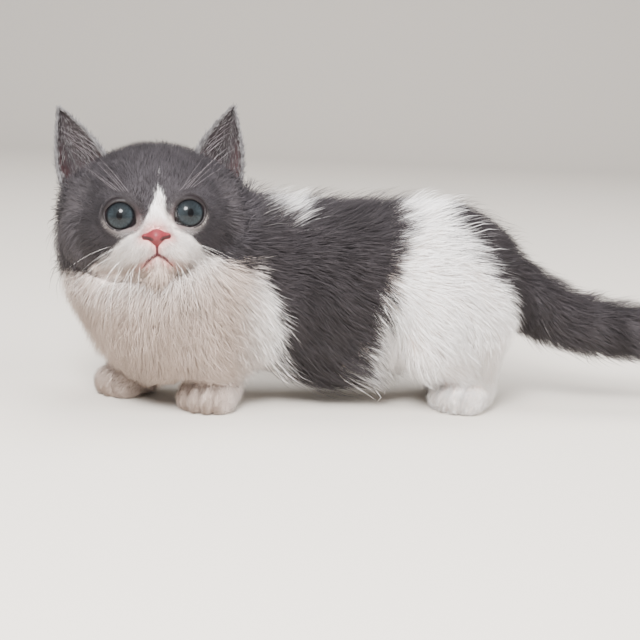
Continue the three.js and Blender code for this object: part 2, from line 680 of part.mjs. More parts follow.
// Nodes that carry locks, from front to back
const ORDER = ["neck", "chest", "torso", "hindquarters", "tail_root", "tail_middle", "tail_tip"];
const locks = Object.fromEntries(["head", ...ORDER].map((name) => [name, []]));
for (const root of trunkRoots()) {
  const [rib, loin, shoulder] = [RIB_CUT, LOIN_CUT, SHOULDER_CUT].map((cut) => past(cut, root));
  const inTail = tailHair.skin(root) < ROOT_EDGE;
  if (headCore(0)(root) < ROOT_EDGE || inLegs(root) < LEG_EDGE || inTail) continue;
  const fore = shoulder > 0 ? "chest" : "neck";
  const node = loin > 0 ? "hindquarters" : rib > 0 ? "torso" : fore;
  const beforeEdge = { hindquarters: loin, torso: rib, chest: shoulder, neck: ROOT_EDGE }[node];
  if (beforeEdge < ROOT_EDGE) continue;
  addLock(locks[node], trunkHair, root, TRUNK_LOCK);
}

// Ruff: rows of locks from under each ear, over the cheek, to below the chin
const RUFF = { rows: [12, 3, -7], count: 8, from: 24, to: -204 };
for (const [row, x] of RUFF.rows.entries()) {
  for (let n = 0; n < RUFF.count; n++) {
    const share = (n + 0.5 + 0.5 * (row & 1) - 0.25) / RUFF.count;
    const turn = (RUFF.from + (RUFF.to - RUFF.from) * share) * RAD;
    const way = unit(headWay(x / 30, Math.cos(turn), Math.sin(turn) * 0.8));
    const root = outFrom(headCore(0), headPoint(x * 0.4, 0, -3), way);
    addLock(locks.head, headHair, root, RUFF_LOCK);
  }
}

// Tail: rings of locks from root to tip
const TAIL_CURVE = curveOf(TAIL_PATH.slice(1));
const TAIL_CUTS = [3, 5].map((i) => ({
  point: TAIL_PATH[i],
  normal: add(TAIL_PATH[i + 1], TAIL_PATH[i - 1], -1),
}));
const tailCore = (extra) => tailChain((i) => TAIL_DEPTH[i] * CORE_SHARE + extra);
const tailRings = Math.floor(TAIL_CURVE.getLength() / TAIL_LOCK.along);
for (let ring = 1; ring < tailRings; ring++) {
  const centre = TAIL_CURVE.getPointAt(ring / tailRings).toArray();
  const axis = TAIL_CURVE.getTangentAt(ring / tailRings).toArray();
  const side = unit(cross([0, 0, 1], axis));
  const top = cross(axis, side);
  for (let n = 0; n < TAIL_LOCK.around; n++) {
    const turn = (2 * Math.PI * (n + (ring & 1) / 2 + 0.12 * draw())) / TAIL_LOCK.around;
    const way = add(add([0, 0, 0], side, Math.cos(turn)), top, Math.sin(turn));
    const root = outFrom(tailCore(0), centre, way);
    const cutsPassed = TAIL_CUTS.filter((cut) => past(cut, root) > 0).length;
    addLock(locks[["tail_root", "tail_middle", "tail_tip"][cutsPassed]], tailHair, root, TAIL_LOCK);
  }
}

const fused = (list, extra = 0) => wasm.Manifold.union(list.map((lock) => lockSolid(lock, extra)));
const withLocks = (name, core) => wasm.Manifold.union([core, fused(locks[name])]);
const locksGrown = {};
for (const name of Object.keys(locks)) locksGrown[name] = fused(locks[name], CLEAR);

const fore = beyond(trunk, ...flip(RIB_CUT));
const foreGrown = beyond(trunkGrown, ...flip(RIB_CUT), -GAP / 2);
const neckGrown = beyond(foreGrown, ...flip(SHOULDER_CUT), -GAP / 2);
const loinGrown = beyond(trunkGrown, ...flip(LOIN_CUT), -GAP / 2);
head = withLocks("head", head);
const headGrown = wasm.Manifold.union([coarseHead, locksGrown.head]);
parts.neck = withLocks("neck", beyond(fore, ...flip(SHOULDER_CUT))).subtract(headGrown);
const breast = beyond(fore, SHOULDER_CUT.point, SHOULDER_CUT.normal);
const waist = beyond(beyond(trunk, RIB_CUT.point, RIB_CUT.normal), ...flip(LOIN_CUT));
const rump = beyond(trunk, LOIN_CUT.point, LOIN_CUT.normal);
parts.chest = withLocks("chest", breast).subtract(neckGrown).subtract(headGrown);
parts.torso = withLocks("torso", waist).subtract(foreGrown);
parts.hindquarters = withLocks("hindquarters", rump).subtract(loinGrown);

const TAIL_GRID = evenGrid([55, 5, 10], [210, 55, 85], TAIL_CELL);
const tail = fieldSolid(tailCore(0), TAIL_GRID).subtract(trunkGrown);
parts.tail_root = withLocks("tail_root", beyond(tail, ...flip(TAIL_CUTS[0]))).subtract(trunkGrown);
parts.tail_middle = withLocks(
  "tail_middle",
  beyond(beyond(tail, TAIL_CUTS[0].point, TAIL_CUTS[0].normal), ...flip(TAIL_CUTS[1])),
);
parts.tail_tip = withLocks("tail_tip", beyond(tail, TAIL_CUTS[1].point, TAIL_CUTS[1].normal));

// Locks lie over the next piece back, and over the legs, so those are cut clear of them
ORDER.forEach((name, i) => {
  for (const earlier of ORDER.slice(Math.max(0, i - 2), i)) {
    parts[name] = parts[name].subtract(locksGrown[earlier]);
  }
});
for (const name of Object.keys(LEGS)) {
  const over = name.startsWith("front") ? ["neck", "chest"] : ["torso", "hindquarters"];
  for (const limbName of ["leg_" + name, "paw_" + name]) {
    for (const coat of over) parts[limbName] = parts[limbName].subtract(locksGrown[coat]);
  }
}

// Face: eyes in their sockets with a lid round each, the nose leather with its nostrils, and the mouth
for (const [name, side] of [["left", 1], ["right", -1]]) {
  const look = headWay(Math.cos(EYE_OUT * RAD), side * Math.sin(EYE_OUT * RAD), 0);
  const opening = headPoint(25.5, (side * EYE_APART) / 2, -0.6);
  const middle = add(opening, look, -EYE_R);
  const rimAt = add(middle, look, Math.sqrt(EYE_R ** 2 - LID_R ** 2) + 0.4);
  const facing = new THREE.Quaternion();
  facing.setFromUnitVectors(new THREE.Vector3(0, 0, 1), new THREE.Vector3(...look));
  const rim = new THREE.TorusGeometry(LID_R + 0.5, LID_THICK, 5, 14).applyQuaternion(facing);
  head = head.add(solidOf(rim.translate(...rimAt))).subtract(ball(middle, EYE_R + GAP));
  parts["eye_" + name] = ball(middle, EYE_R);
  parts["ear_" + name] = earSolid(side).subtract(fineHead).subtract(locksGrown.head);
}

const noseField = blend(
  1.6,
  limb(headPoint(30.2, 3.5, -9.9), headPoint(30.2, -3.5, -9.9), 2.4, 2.4),
  limb(headPoint(30.6, 0, -10.3), headPoint(29.4, 0, -13.4), 2.8, 1.4),
);
const NOSE_GRID = {
  origin: HEAD_AT,
  axes: HEAD_AXES,
  ticks: [ticksOf([24, NOSE_CELL], [37]), ticksOf([-9, NOSE_CELL], [9]), ticksOf([-20, NOSE_CELL], [-3])],
};
const NOSTRIL = [[34.5, 2.0, -12.5], [32.0, 3.0, -11.7], [30.2, 4.6, -10.7]];
const nostrils = [1, -1].map((side) =>
  tubeSolid(NOSTRIL.map(([x, y, z]) => headPoint(x, side * y, z)), [0.9, 1.0, 0.5], 5),
);
parts.nose = nostrils.reduce((solid, hole) => solid.subtract(hole), fieldSolid(noseField, NOSE_GRID));
head = head.subtract(fieldSolid(grown(noseField, CLEAR), NOSE_GRID));

/** A tube that lies along the face through points of the head's frame, sunk by depth. */
function faceTube(points, radii, depth) {
  const path = new THREE.CatmullRomCurve3(points.map((p) => new THREE.Vector3(...headPoint(...p))));
  const count = (radii.length - 1) * 2;
  const along = path.getPoints(count).map((p) => settle(headCore(0), p.toArray(), -depth));
  const widths = along.map((_, i) => (radii[i >> 1] + radii[(i + 1) >> 1]) / 2);
  return tubeSolid(along, widths, 5);
}

const MOUTH = [[30.2, 0.35, -16.4], [29.4, 2.6, -17.6], [27.5, 5.2, -20.2], [23.5, 7.8, -23.8]];
for (const side of [1, -1]) {
  const line = MOUTH.map(([x, y, z]) => [x, side * y, z]);
  const lip = MOUTH.map(([x, y, z]) => [x, side * y * 0.9, z - 1.9]);
  head = head.add(faceTube(lip, [0.7, 1.1, 1.0, 0.6], 0.2));
  head = head.subtract(faceTube(line, [0.8, 0.9, 0.8, 0.35], -0.1));
}
const PHILTRUM = [[31, 0, -14.4], [30.6, 0, -15.6], [30.2, 0, -17]];
head = head.subtract(faceTube(PHILTRUM, [0.6, 0.6, 0.6], -0.1));
parts.head = head;

const COLOURS = { grey: 0x6f6a6f, white: 0xe9e4e0, iris: 0x5d7a8c, pink: 0xd98f8c };
const colourOf = (name) => {
  if (name === "nose") return COLOURS.pink;
  if (name.startsWith("eye")) return COLOURS.iris;
  return /^(paw|leg|chest|neck)/.test(name) ? COLOURS.white : COLOURS.grey;
};

// The origin is on the floor, in the middle of the model's length and width
const bounds = new THREE.Box3();
for (const solid of Object.values(parts)) {
  const { min, max } = largest(solid).boundingBox();
  bounds.expandByPoint(new THREE.Vector3(...min)).expandByPoint(new THREE.Vector3(...max));
}
const shift = [-(bounds.min.x + bounds.max.x) / 2, -(bounds.min.y + bounds.max.y) / 2, 0];

const model = new THREE.Group();
for (const [name, solid] of Object.entries(parts)) {
  const roughness = /^(eye|nose)/.test(name) ? 0.25 : 0.9;
  const material = new THREE.MeshStandardMaterial({ color: colourOf(name), roughness, metalness: 0 });
  const mesh = new THREE.Mesh(finished(solid, shift), material);
  mesh.name = name;
  model.add(mesh);
}

export default model;
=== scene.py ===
"""A munchkin kitten, blue-grey and white, life size, on four short legs with its head turned to the viewer.

Shapes are worked out in millimetres in the kitten's own pose frame: +X towards the tail, +Y away from
the viewer and +Z up from the floor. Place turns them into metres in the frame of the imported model.
"""
import logging
import math
from dataclasses import dataclass, field, fields
from enum import Enum
from typing import Any, Callable, Sequence

import bpy
import numpy as np
from mathutils import Matrix, Vector


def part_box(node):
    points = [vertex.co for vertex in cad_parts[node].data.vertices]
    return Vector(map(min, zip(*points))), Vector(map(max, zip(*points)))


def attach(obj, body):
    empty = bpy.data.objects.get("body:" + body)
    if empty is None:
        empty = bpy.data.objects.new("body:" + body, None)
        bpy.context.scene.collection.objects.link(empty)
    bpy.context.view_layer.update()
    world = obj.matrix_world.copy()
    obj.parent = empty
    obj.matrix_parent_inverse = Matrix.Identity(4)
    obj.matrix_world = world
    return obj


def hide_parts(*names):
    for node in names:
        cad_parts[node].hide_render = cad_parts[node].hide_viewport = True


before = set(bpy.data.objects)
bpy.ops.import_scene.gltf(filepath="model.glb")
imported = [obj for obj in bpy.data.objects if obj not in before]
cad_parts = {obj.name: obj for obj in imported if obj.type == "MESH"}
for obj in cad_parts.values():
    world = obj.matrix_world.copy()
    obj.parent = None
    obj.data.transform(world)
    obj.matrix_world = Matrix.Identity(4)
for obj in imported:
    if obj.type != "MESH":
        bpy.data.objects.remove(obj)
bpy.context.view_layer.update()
MM = 0.001
LOG = logging.getLogger("kitten")

Array = np.ndarray
Field = Callable[[Array], Array]
Triple = tuple[float, float, float]
Colour = tuple[float, float, float, float]
Thing = bpy.types.Object
Material = bpy.types.Material

PATCH = 0.003
SLICES = 24
TAIL_AT = (80, 25, 57)
TUFT_FLATNESS = 0.32
SPIKE_CORNERS = tuple(math.radians(turn) for turn in (90, 210, 330))


def unit(v: Array) -> Array:
    """Vectors scaled to length 1."""
    return v / np.maximum(np.linalg.norm(v, axis=-1, keepdims=True), 1e-9)


def dot(a: Array, b: Array) -> Array:
    """Dot product of each pair of vectors."""
    return np.sum(a * b, axis=-1)


def linked(name: str, data: bpy.types.ID) -> Thing:
    """A new object in the scene that shows data."""
    thing = bpy.data.objects.new(name, data)
    bpy.context.scene.collection.objects.link(thing)
    return thing


def smooth(low: float, high: float, v: Array) -> Array:
    """A soft step from 0 at low to 1 at high."""
    t = np.clip((v - low) / (high - low), 0, 1)
    return t * t * (3 - 2 * t)


def hump(turn: Array, at: float, spread: float) -> Array:
    """A bell round a circle, 1 at the angle at, in degrees, and spread wide in radians."""
    off = np.angle(np.exp(1j * (turn - math.radians(at))))
    return np.exp(-((off / spread) ** 2))


def axes_of(yaw: float, pitch: float = 0.0, roll: float = 0.0) -> Array:
    """Forward, left and up axes, as rows, of a thing that heads yaw degrees round from -X towards -Y.

    Args:
        yaw: heading in degrees.
        pitch: how far it looks up, in degrees.
        roll: how far its left side rises, in degrees.

    Returns:
        A 3 x 3 array.
    """
    y, p, r = np.radians([yaw, pitch, roll])
    forward = np.array([-math.cos(y) * math.cos(p), -math.sin(y) * math.cos(p), math.sin(p)])
    side = np.array([math.sin(y), -math.cos(y), 0.0])
    left = side * math.cos(r) + np.cross(forward, side) * math.sin(r)
    return np.array([forward, left, np.cross(forward, left)])


@dataclass(frozen=True)
class Ellipsoid:
    """An ellipsoid's field: below 0 inside, and about the distance in mm near the surface."""

    centre: Triple
    radii: Triple
    yaw: float = 0.0
    pitch: float = 0.0
    level: bool = False

    def __call__(self, p: Array) -> Array:
        """The field at each point.

        Args:
            p: points.

        Returns:
            A value for each point.
        """
        axes = np.eye(3) if self.level else axes_of(self.yaw, self.pitch)
        s = ((p - np.array(self.centre)) @ axes.T) / np.array(self.radii)
        k0 = np.linalg.norm(s, axis=-1)
        k1 = np.linalg.norm(s / np.array(self.radii), axis=-1)
        return k0 * (k0 - 1) / np.maximum(k1, 1e-9)


@dataclass(frozen=True)
class Limb:
    """The field of a tapered limb with round ends."""

    a: Triple
    b: Triple
    ra: float
    rb: float

    def __call__(self, p: Array) -> Array:
        """The field at each point."""
        a, way = np.array(self.a), np.array(self.b) - np.array(self.a)
        t = np.clip((p - a) @ way / (way @ way), 0, 1)
        return np.linalg.norm(p - a - t[..., None] * way, axis=-1) - (self.ra + (self.rb - self.ra) * t)


@dataclass(frozen=True)
class Blend:
    """Fields joined with a fillet about width wide."""

    width: float
    fields: Sequence[Field]

    def __call__(self, p: Array) -> Array:
        """The field at each point.

        Args:
            p: points.

        Returns:
            A value for each point.
        """
        d = self.fields[0](p)
        for other in self.fields[1:]:
            e = other(p)
            h = np.clip(0.5 + 0.5 * (d - e) / self.width, 0, 1)
            d = d + (e - d) * h - self.width * h * (1 - h)
        return d


def gradient(of: Field, p: Array, step: float = 0.3) -> Array:
    """The outward normal of a field at each point.

    Args:
        of: the field.
        p: points.
        step: half the span that the slope is taken over.

    Returns:
        A unit vector for each point.
    """
    slope = []
    for axis in np.eye(3) * step:
        slope.append(of(p + axis) - of(p - axis))
    return unit(np.stack(slope, -1))


class Waves:
    """A smooth random vector field, made of sine waves that run in random directions."""

    def __init__(self, seed: int, scale: float, count: int = 7) -> None:
        """Draws the waves.

        Args:
            seed: of the random draw.
            scale: length of a wave in mm.
            count: number of waves for each component.
        """
        rng = np.random.default_rng(seed)
        self.ways = unit(rng.normal(size=(count, 3))) * (2 * math.pi / scale)
        self.ways = self.ways * rng.uniform(0.6, 1.5, (count, 1))
        self.phases = rng.uniform(0, 2 * math.pi, (3, count))

    def __call__(self, p: Array) -> Array:
        """A vector of about unit size at each point."""
        turn = p @ self.ways.T
        waves = [np.sin(turn + phase).sum(-1) for phase in self.phases]
        return np.stack(waves, -1) / math.sqrt(self.ways.shape[0] / 2)


class Zone(Enum):
    """Where a piece of the coat grows."""

    FACE = "face"
    CROWN = "crown"
    CHEST = "chest"
    SHOULDER = "shoulder"
    FLANK_LEFT = "flank_left"
    FLANK_RIGHT = "flank_right"
    HAUNCH_LEFT = "haunch_left"
    HAUNCH_RIGHT = "haunch_right"
    LEGS = "legs"
    PAWS = "paws"
    TAIL = "tail"


@dataclass(frozen=True)
class Leg:
    """One leg: from a point inside the trunk to its paw, which heads its own way."""

    top: Triple
    paw: tuple[float, float]
    yaw: float
    radii: tuple[float, float]
    ankle: tuple[float, float] = (-4.0, 11.0)
    palm: tuple[float, float] = (-1.8, 6.4)
    palm_radii: Triple = (11.4, 11, 7.5)
    toes: tuple[float, ...] = (-1.5, -0.5, 0.5, 1.5)
    toe_radii: Triple = (6.6, 3.5, 5.9)
    toe_up: float = 5.6
    toe_apart: float = 5.7
    toe_ahead: float = 8.0
    toe_curve: float = 1.2
    toe_splay: float = 7.0
    parting: float = 1.0

    def shaft(self) -> Field:
        """The leg above the paw."""
        return Limb(self.top, tuple(self.on_paw(*self.ankle)), *self.radii)

    def on_paw(self, ahead: float, up: float, left: float = 0.0) -> Array:
        """A point so far ahead, up and to the left of the paw's middle on the floor."""
        way, side, _ = axes_of(self.yaw)
        return np.array([*self.paw, up]) + ahead * way + left * side

    def mitten(self) -> Field:
        """The paw: a low mitten with four toes.

        Returns:
            The paw's field.
        """
        forms = [Ellipsoid(tuple(self.on_paw(*self.palm)), self.palm_radii, self.yaw)]
        for n in self.toes:
            ahead = self.toe_ahead - self.toe_curve * n * n
            middle = tuple(self.on_paw(ahead, self.toe_up, n * self.toe_apart))
            forms.append(Ellipsoid(middle, self.toe_radii, self.yaw - n * self.toe_splay))
        return Blend(self.parting, forms)


@dataclass
class Eyes:
    """Sizes and places of the two eyes, in the head's frame."""

    radius: float = 8.2
    apart: float = 29.2
    ahead: float = 25.5
    up: float = -0.6
    out: float = 8.0
    lid: float = 0.9
    half_wide: float = 6.0
    half_high: float = 5.6
    corner: float = 1.3
    corner_turn: float = -148.0
    outer_corner: float = 0.5
    outer_turn: float = 18.0
    corner_spread: float = 0.3

    def look(self, side: int) -> Array:
        """The way an eye looks; side is 1 for the left eye and -1 for the right."""
        out = math.radians(self.out)
        return np.array([math.cos(out), side * math.sin(out), 0.0])

    def middle(self, side: int) -> Array:
        """The middle of an eyeball."""
        opening = np.array([self.ahead, side * self.apart / 2, self.up])
        return opening - self.look(side) * self.radius

    def frame_of(self, side: int) -> Array:
        """Look, outward and up axes of an eye, as rows."""
        out = math.radians(self.out)
        return np.array([self.look(side), [-math.sin(out), side * math.cos(out), 0.0], [0.0, 0.0, 1.0]])

    def polar(self, q: Array, side: int) -> tuple[Array, Array, Array]:
        """Distance, arc in mm from the look axis, and turn of points round an eye.

        Args:
            q: points in the head's frame.
            side: 1 for the left and -1 for the right.

        Returns:
            The distance, the arc and the turn of each point.
        """
        local = (q - self.middle(side)) @ self.frame_of(side).T
        r = np.linalg.norm(local, axis=-1)
        arc = self.radius * np.arccos(np.clip(local[..., 0] / np.maximum(r, 1e-6), -1, 1))
        return r, arc, np.arctan2(local[..., 2], local[..., 1])

    def opening(self, turn: Array) -> Array:
        """Arc in mm from the look axis to the lid's edge: wide, round, with a corner towards the nose.

        Args:
            turn: angles round the look axis.

        Returns:
            An arc for each angle.
        """
        a = np.cos(turn) / self.half_wide
        b = np.sin(turn) / self.half_high
        flat = 1 / np.sqrt(a * a + b * b)
        arc = self.radius * np.arcsin(np.clip(flat / self.radius, 0, 0.98))
        inner = hump(turn, self.corner_turn, self.corner_spread)
        outer = hump(turn, self.outer_turn, self.corner_spread)
        return arc + self.corner * inner + self.outer_corner * outer


@dataclass(frozen=True)
class Parts:
    """Parts of one kind, each of them a field of the class."""

    def each(self) -> list[Any]:
        """The parts in order."""
        return [getattr(self, part.name) for part in fields(self)]


@dataclass(frozen=True)
class Legs(Parts):
    """The four legs, which head their own ways."""

    front_left: Leg = Leg((-45, -6, 36), (-47.5, -3.5), 74, (12, 10))
    front_right: Leg = Leg((-82, 18, 36), (-87.5, 19), 40, (12, 10))
    hind_left: Leg = Leg((69, 8, 36), (66.5, 13.5), 56, (12.5, 10.5))
    hind_right: Leg = Leg((68, 45, 36), (66.5, 45), -14, (12.5, 10.5))


@dataclass(frozen=True)
class Trunk(Parts):
    """The round forms of the trunk, in the pose frame."""

    breast: Ellipsoid = Ellipsoid((-66, 1, 48), (26, 25, 27), 52)
    shoulders: Ellipsoid = Ellipsoid((-35, 11, 55), (34, 27, 30), 30)
    barrel: Ellipsoid = Ellipsoid((6, 17, 54), (38, 28.5, 30), 12)
    rump: Ellipsoid = Ellipsoid((46, 23, 57), (32, 26.5, 27.5), 9, 8)
    left_forearm: Ellipsoid = Ellipsoid((-44, -9, 44), (15, 9, 20), 40, 12)
    right_forearm: Ellipsoid = Ellipsoid((-80, 18, 44), (14, 9, 20), 45, 12)
    throat: Ellipsoid = Ellipsoid((-89, -2, 61), (14, 15, 11), 60)
    left_thigh: Ellipsoid = Ellipsoid((61, 5, 41), (18, 11, 23), 10, 20)
    right_thigh: Ellipsoid = Ellipsoid((65, 43, 41), (18, 11, 23), 5, 20)
    neck: Limb = Limb((-58, 3, 62), (-69, -3, 80), 23, 22)
    tail_root: Limb = Limb((64, 25, 60), TAIL_AT, 16, 9)


@dataclass(frozen=True)
class Skull(Parts):
    """The round forms of the head behind the muzzle, in the head's frame."""

    brain_case: Ellipsoid = Ellipsoid((-3, 0, 4.5), (28, 31, 23), level=True)
    cheeks: Ellipsoid = Ellipsoid((2, 0, -8), (22, 34, 16.5), level=True)
    nape: Ellipsoid = Ellipsoid((-17, 0, -2), (19, 26, 21), level=True)


@dataclass(frozen=True)
class Muzzle(Parts):
    """The round forms of the muzzle, in the head's frame."""

    bridge: Limb = Limb((11, 0, 0), (25.5, 0, -9.6), 9.5, 5.4)
    left_pad: Ellipsoid = Ellipsoid((21.5, 6.4, -14), (8.6, 8.6, 6.6), level=True)
    right_pad: Ellipsoid = Ellipsoid((21.5, -6.4, -14), (8.6, 8.6, 6.6), level=True)
    chin: Ellipsoid = Ellipsoid((18.5, 0, -20), (9.2, 8.2, 5.6), level=True)


@dataclass
class Body:
    """The kitten's flesh as fields in the pose frame, with the depth and the lie of its coat."""

    eyes: Eyes = field(default_factory=Eyes)
    head_at: Triple = (-73.2, -9.5, 86.0)
    head_turn: Triple = (98, 9, 3.8)
    tail_path: tuple[Triple, ...] = (
        (74, 25, 58), TAIL_AT, (97, 25.5, 49.5), (112, 26, 42.5), (128, 26.5, 38.5), (145, 27, 37),
        (160, 28.5, 36), (174, 30, 35.5), (185, 31, 36),
    )
    tail_radii: tuple[float, ...] = (8, 7.5, 6.6, 5.8, 5.2, 4.7, 4.2, 3.6, 2.6)
    tail_coat: tuple[float, ...] = (8, 10, 10, 9.8, 10, 10.2, 9.6, 7.4, 4.6)
    leg_coat: float = 3.4
    paw_coat: float = 2.1
    nose_at: Triple = (30.0, 0.0, -8.0)
    mouth_side: tuple[Triple, ...] = (
        (30.4, 0.3, -17.6), (29.6, 2.8, -18.9), (28.2, 5.0, -21.0), (24.5, 6.9, -23.6),
    )
    lid_fillet: float = 2.2
    mouth_cut: float = 0.6
    share_fade: float = 2.5

    def __post_init__(self) -> None:
        """Makes the fields."""
        self.head_axes = axes_of(*self.head_turn)
        self.mouth: list[Array] = []
        self.trunk = Blend(14, Trunk().each())
        self.skull = Blend(5, [Blend(7, Skull().each()), Blend(5, Muzzle().each())])
        limbs = []
        for i in range(len(self.tail_path) - 1):
            ends = self.tail_path[i], self.tail_path[i + 1]
            limbs.append(Limb(*ends, self.tail_radii[i], self.tail_radii[i + 1]))
        self.tail = Blend(4, limbs)
        self.each_leg = Legs().each()
        self.shafts = [leg.shaft() for leg in self.each_leg]
        self.mittens = [leg.mitten() for leg in self.each_leg]
        whole_legs = [Blend(5, [mitten, shaft]) for mitten, shaft in zip(self.mittens, self.shafts)]
        self.flesh = Blend(6, [self.trunk, *whole_legs])

    def into_head(self, p: Array) -> Array:
        """Points in the head's frame: x forward, y to the left, z up."""
        return (p - self.head_at) @ self.head_axes.T

    def from_head(self, q: Array) -> Array:
        """Points of the head's frame in the pose frame."""
        return self.head_at + np.asarray(q, float) @ self.head_axes

    def head(self, p: Array) -> Array:
        """The head without its face's openings."""
        return self.skull(self.into_head(p))

    def legs(self, p: Array) -> Array:
        """How far p is from the nearest leg."""
        return np.min([shaft(p) for shaft in self.shafts], axis=0)

    def paws(self, p: Array) -> Array:
        """How far p is from the nearest paw."""
        return np.min([mitten(p) for mitten in self.mittens], axis=0)

    def skin(self, p: Array) -> Array:
        """The whole skin, with eye sockets, lids and the line of the mouth.

        Args:
            p: points in the pose frame.

        Returns:
            A value for each point.
        """
        q = self.into_head(p)
        d = Blend(5, [self.flesh, lambda _: self.skull(q), self.tail])(p)
        eyes = self.eyes
        for side in (1, -1):
            r, arc, turn = eyes.polar(q, side)
            edge = eyes.opening(turn)
            lid = np.maximum(r - (eyes.radius + eyes.lid), edge - arc)
            h = np.clip(0.5 + 0.5 * (d - lid) / self.lid_fillet, 0, 1)
            d = d + (lid - d) * h - self.lid_fillet * h * (1 - h)
            d = np.maximum(d, eyes.radius + 0.05 - r)
            d = np.where(r < eyes.radius + 4, np.maximum(d, edge - arc), d)
        d = np.maximum(d, self.mouth_cut - self.from_mouth(q))
        return np.maximum(d, -p[..., 2])

    def mouth_lines(self) -> list[Array]:
        """The mouth's two sides and the groove above it, laid on the skin, in the head's frame.

        Returns:
            Three lines of points.
        """
        if not self.mouth:
            groove = ((31, 0, -14.4), (30.6, 0, -17.8))
            for side in (1, -1, 0):
                half = [(x, side * y, z) for x, y, z in self.mouth_side]
                line = np.array(half if side else groove, float)
                for _ in range(3):
                    line = line - gradient(self.skull, line) * self.skull(line)[:, None]
                self.mouth.append(line)
        return self.mouth

    def from_mouth(self, q: Array) -> Array:
        """Distance from the lines of the mouth, in the head's frame.

        Args:
            q: points in the head's frame.

        Returns:
            A value for each point.
        """
        away = np.full(q.shape[:-1], 1e3)
        for line in self.mouth_lines():
            for a, b in zip(line[:-1], line[1:]):
                away = np.minimum(away, Limb(tuple(a), tuple(b), 0, 0)(q))
        return away

    def shares(self, p: Array) -> Array:
        """How much each point belongs to the head, trunk, tail, legs and paws, as columns."""
        apart = [self.head(p), self.trunk(p), self.tail(p) - 1, self.legs(p), self.paws(p) - 1.5]
        weight = np.exp(-np.stack(apart, -1) / self.share_fade)
        return weight / weight.sum(-1, keepdims=True)

    def near_eye(self, q: Array) -> tuple[Array, Array]:
        """Distance in mm past the nearer eye's lid edge, and the way from that eye, in the head's frame.

        Args:
            q: points in the head's frame.

        Returns:
            The distance, and a unit vector, for each point.
        """
        best = np.full(q.shape[:-1], 1e3)
        away = np.zeros_like(q)
        for side in (1, -1):
            r, arc, turn = self.eyes.polar(q, side)
            past = arc - self.eyes.opening(turn) + np.maximum(r - self.eyes.radius - 2, 0)
            nearer = past < best
            best = np.where(nearer, past, best)
            away = np.where(nearer[..., None], unit(q - self.eyes.middle(side)), away)
        return best, away

    def head_depth(self, q: Array) -> Array:
        """Depth of the head's coat: long on the cheeks, short on the muzzle and round the eyes.

        Args:
            q: points in the head's frame.

        Returns:
            A depth in mm for each point.
        """
        x, y, z = q[..., 0], q[..., 1], q[..., 2]
        cheek = 12 * smooth(16, 33, abs(y)) * smooth(20, 0, x) * smooth(26, 8, z)
        nape = 5 * smooth(-6, -24, x)
        crown = 3.0 * smooth(8, 24, z)
        ruff = 9 * smooth(-8, -24, z) * smooth(12, -2, x)
        throat = 7 * smooth(-18, -25, z)
        pads = 1.8 * smooth(4, 13, abs(y)) * smooth(-9, -17, z)
        near, _ = self.near_eye(q)
        full = 1.5 + np.max([cheek, nape, ruff, throat, pads], axis=0) + crown
        bare = smooth(0, 9, near) * (0.2 + 0.8 * smooth(0.6, 5, self.from_mouth(q)))
        return 0.7 + (full - 0.7) * bare

    def trunk_depth(self, p: Array) -> Array:
        """Depth of the trunk's coat: long on the back, the bib and under the belly.

        Args:
            p: points in the pose frame.

        Returns:
            A depth in mm for each point.
        """
        x, z = p[..., 0], p[..., 2]
        fringe = 9.5 * smooth(44, 26, z) * smooth(-45, -15, x) * smooth(32, 8, x)
        bib = 5 * smooth(-40, -62, x) * smooth(80, 66, z)
        hock = -5 * smooth(40, 26, z) * smooth(44, 56, x)
        nape = -6 * smooth(-36, -58, x) * smooth(62, 80, z)
        return 8.6 + 3 * smooth(60, 80, z) + fringe + bib + nape + hock

    def on_tail(self, p: Array) -> tuple[Array, Array]:
        """Place along the tail, 0 to 8, and the tail's way there.

        Args:
            p: points in the pose frame.

        Returns:
            The place, and a unit vector, for each point.
        """
        path = np.array(self.tail_path, float)
        best = np.full(len(p), 1e9)
        place = np.zeros(len(p))
        ways = np.zeros_like(p)
        for i, (a, b) in enumerate(zip(path[:-1], path[1:])):
            way = b - a
            t = np.clip((p - a) @ way / (way @ way), 0, 1)
            gap = np.linalg.norm(p - a - t[:, None] * way, axis=-1)
            nearer = gap < best
            best = np.where(nearer, gap, best)
            place = np.where(nearer, i + t, place)
            ways = np.where(nearer[:, None], unit(way), ways)
        return place, ways

    def depth(self, p: Array) -> Array:
        """Depth of the coat at each point of the skin.

        Args:
            p: points in the pose frame.

        Returns:
            A depth in mm for each point.
        """
        place, _ = self.on_tail(p)
        tail = np.interp(place, range(len(self.tail_coat)), self.tail_coat)
        legs = np.full(len(p), self.leg_coat)
        paws = np.full(len(p), self.paw_coat)
        each = np.stack([self.head_depth(self.into_head(p)), self.trunk_depth(p), tail, legs, paws], -1)
        return dot(each, self.shares(p))

    def lie(self, p: Array, n: Array) -> Array:
        """The way that the coat lies at each point of the skin, level with the skin.

        Args:
            p: points of the skin.
            n: outward normals there.

        Returns:
            Unit vectors.
        """
        down = np.array([0, 0, -1.0])
        q = self.into_head(p)
        low = smooth(6, -12, q[:, 2]) * (0.15 + 0.45 * smooth(14, 30, abs(q[:, 1])))
        near, away = self.near_eye(q)
        from_nose = unit(q - self.nose_at) + 3.2 * away * np.exp(-np.maximum(near, 0) / 3.4)[:, None]
        head = from_nose @ self.head_axes + down * low[:, None]

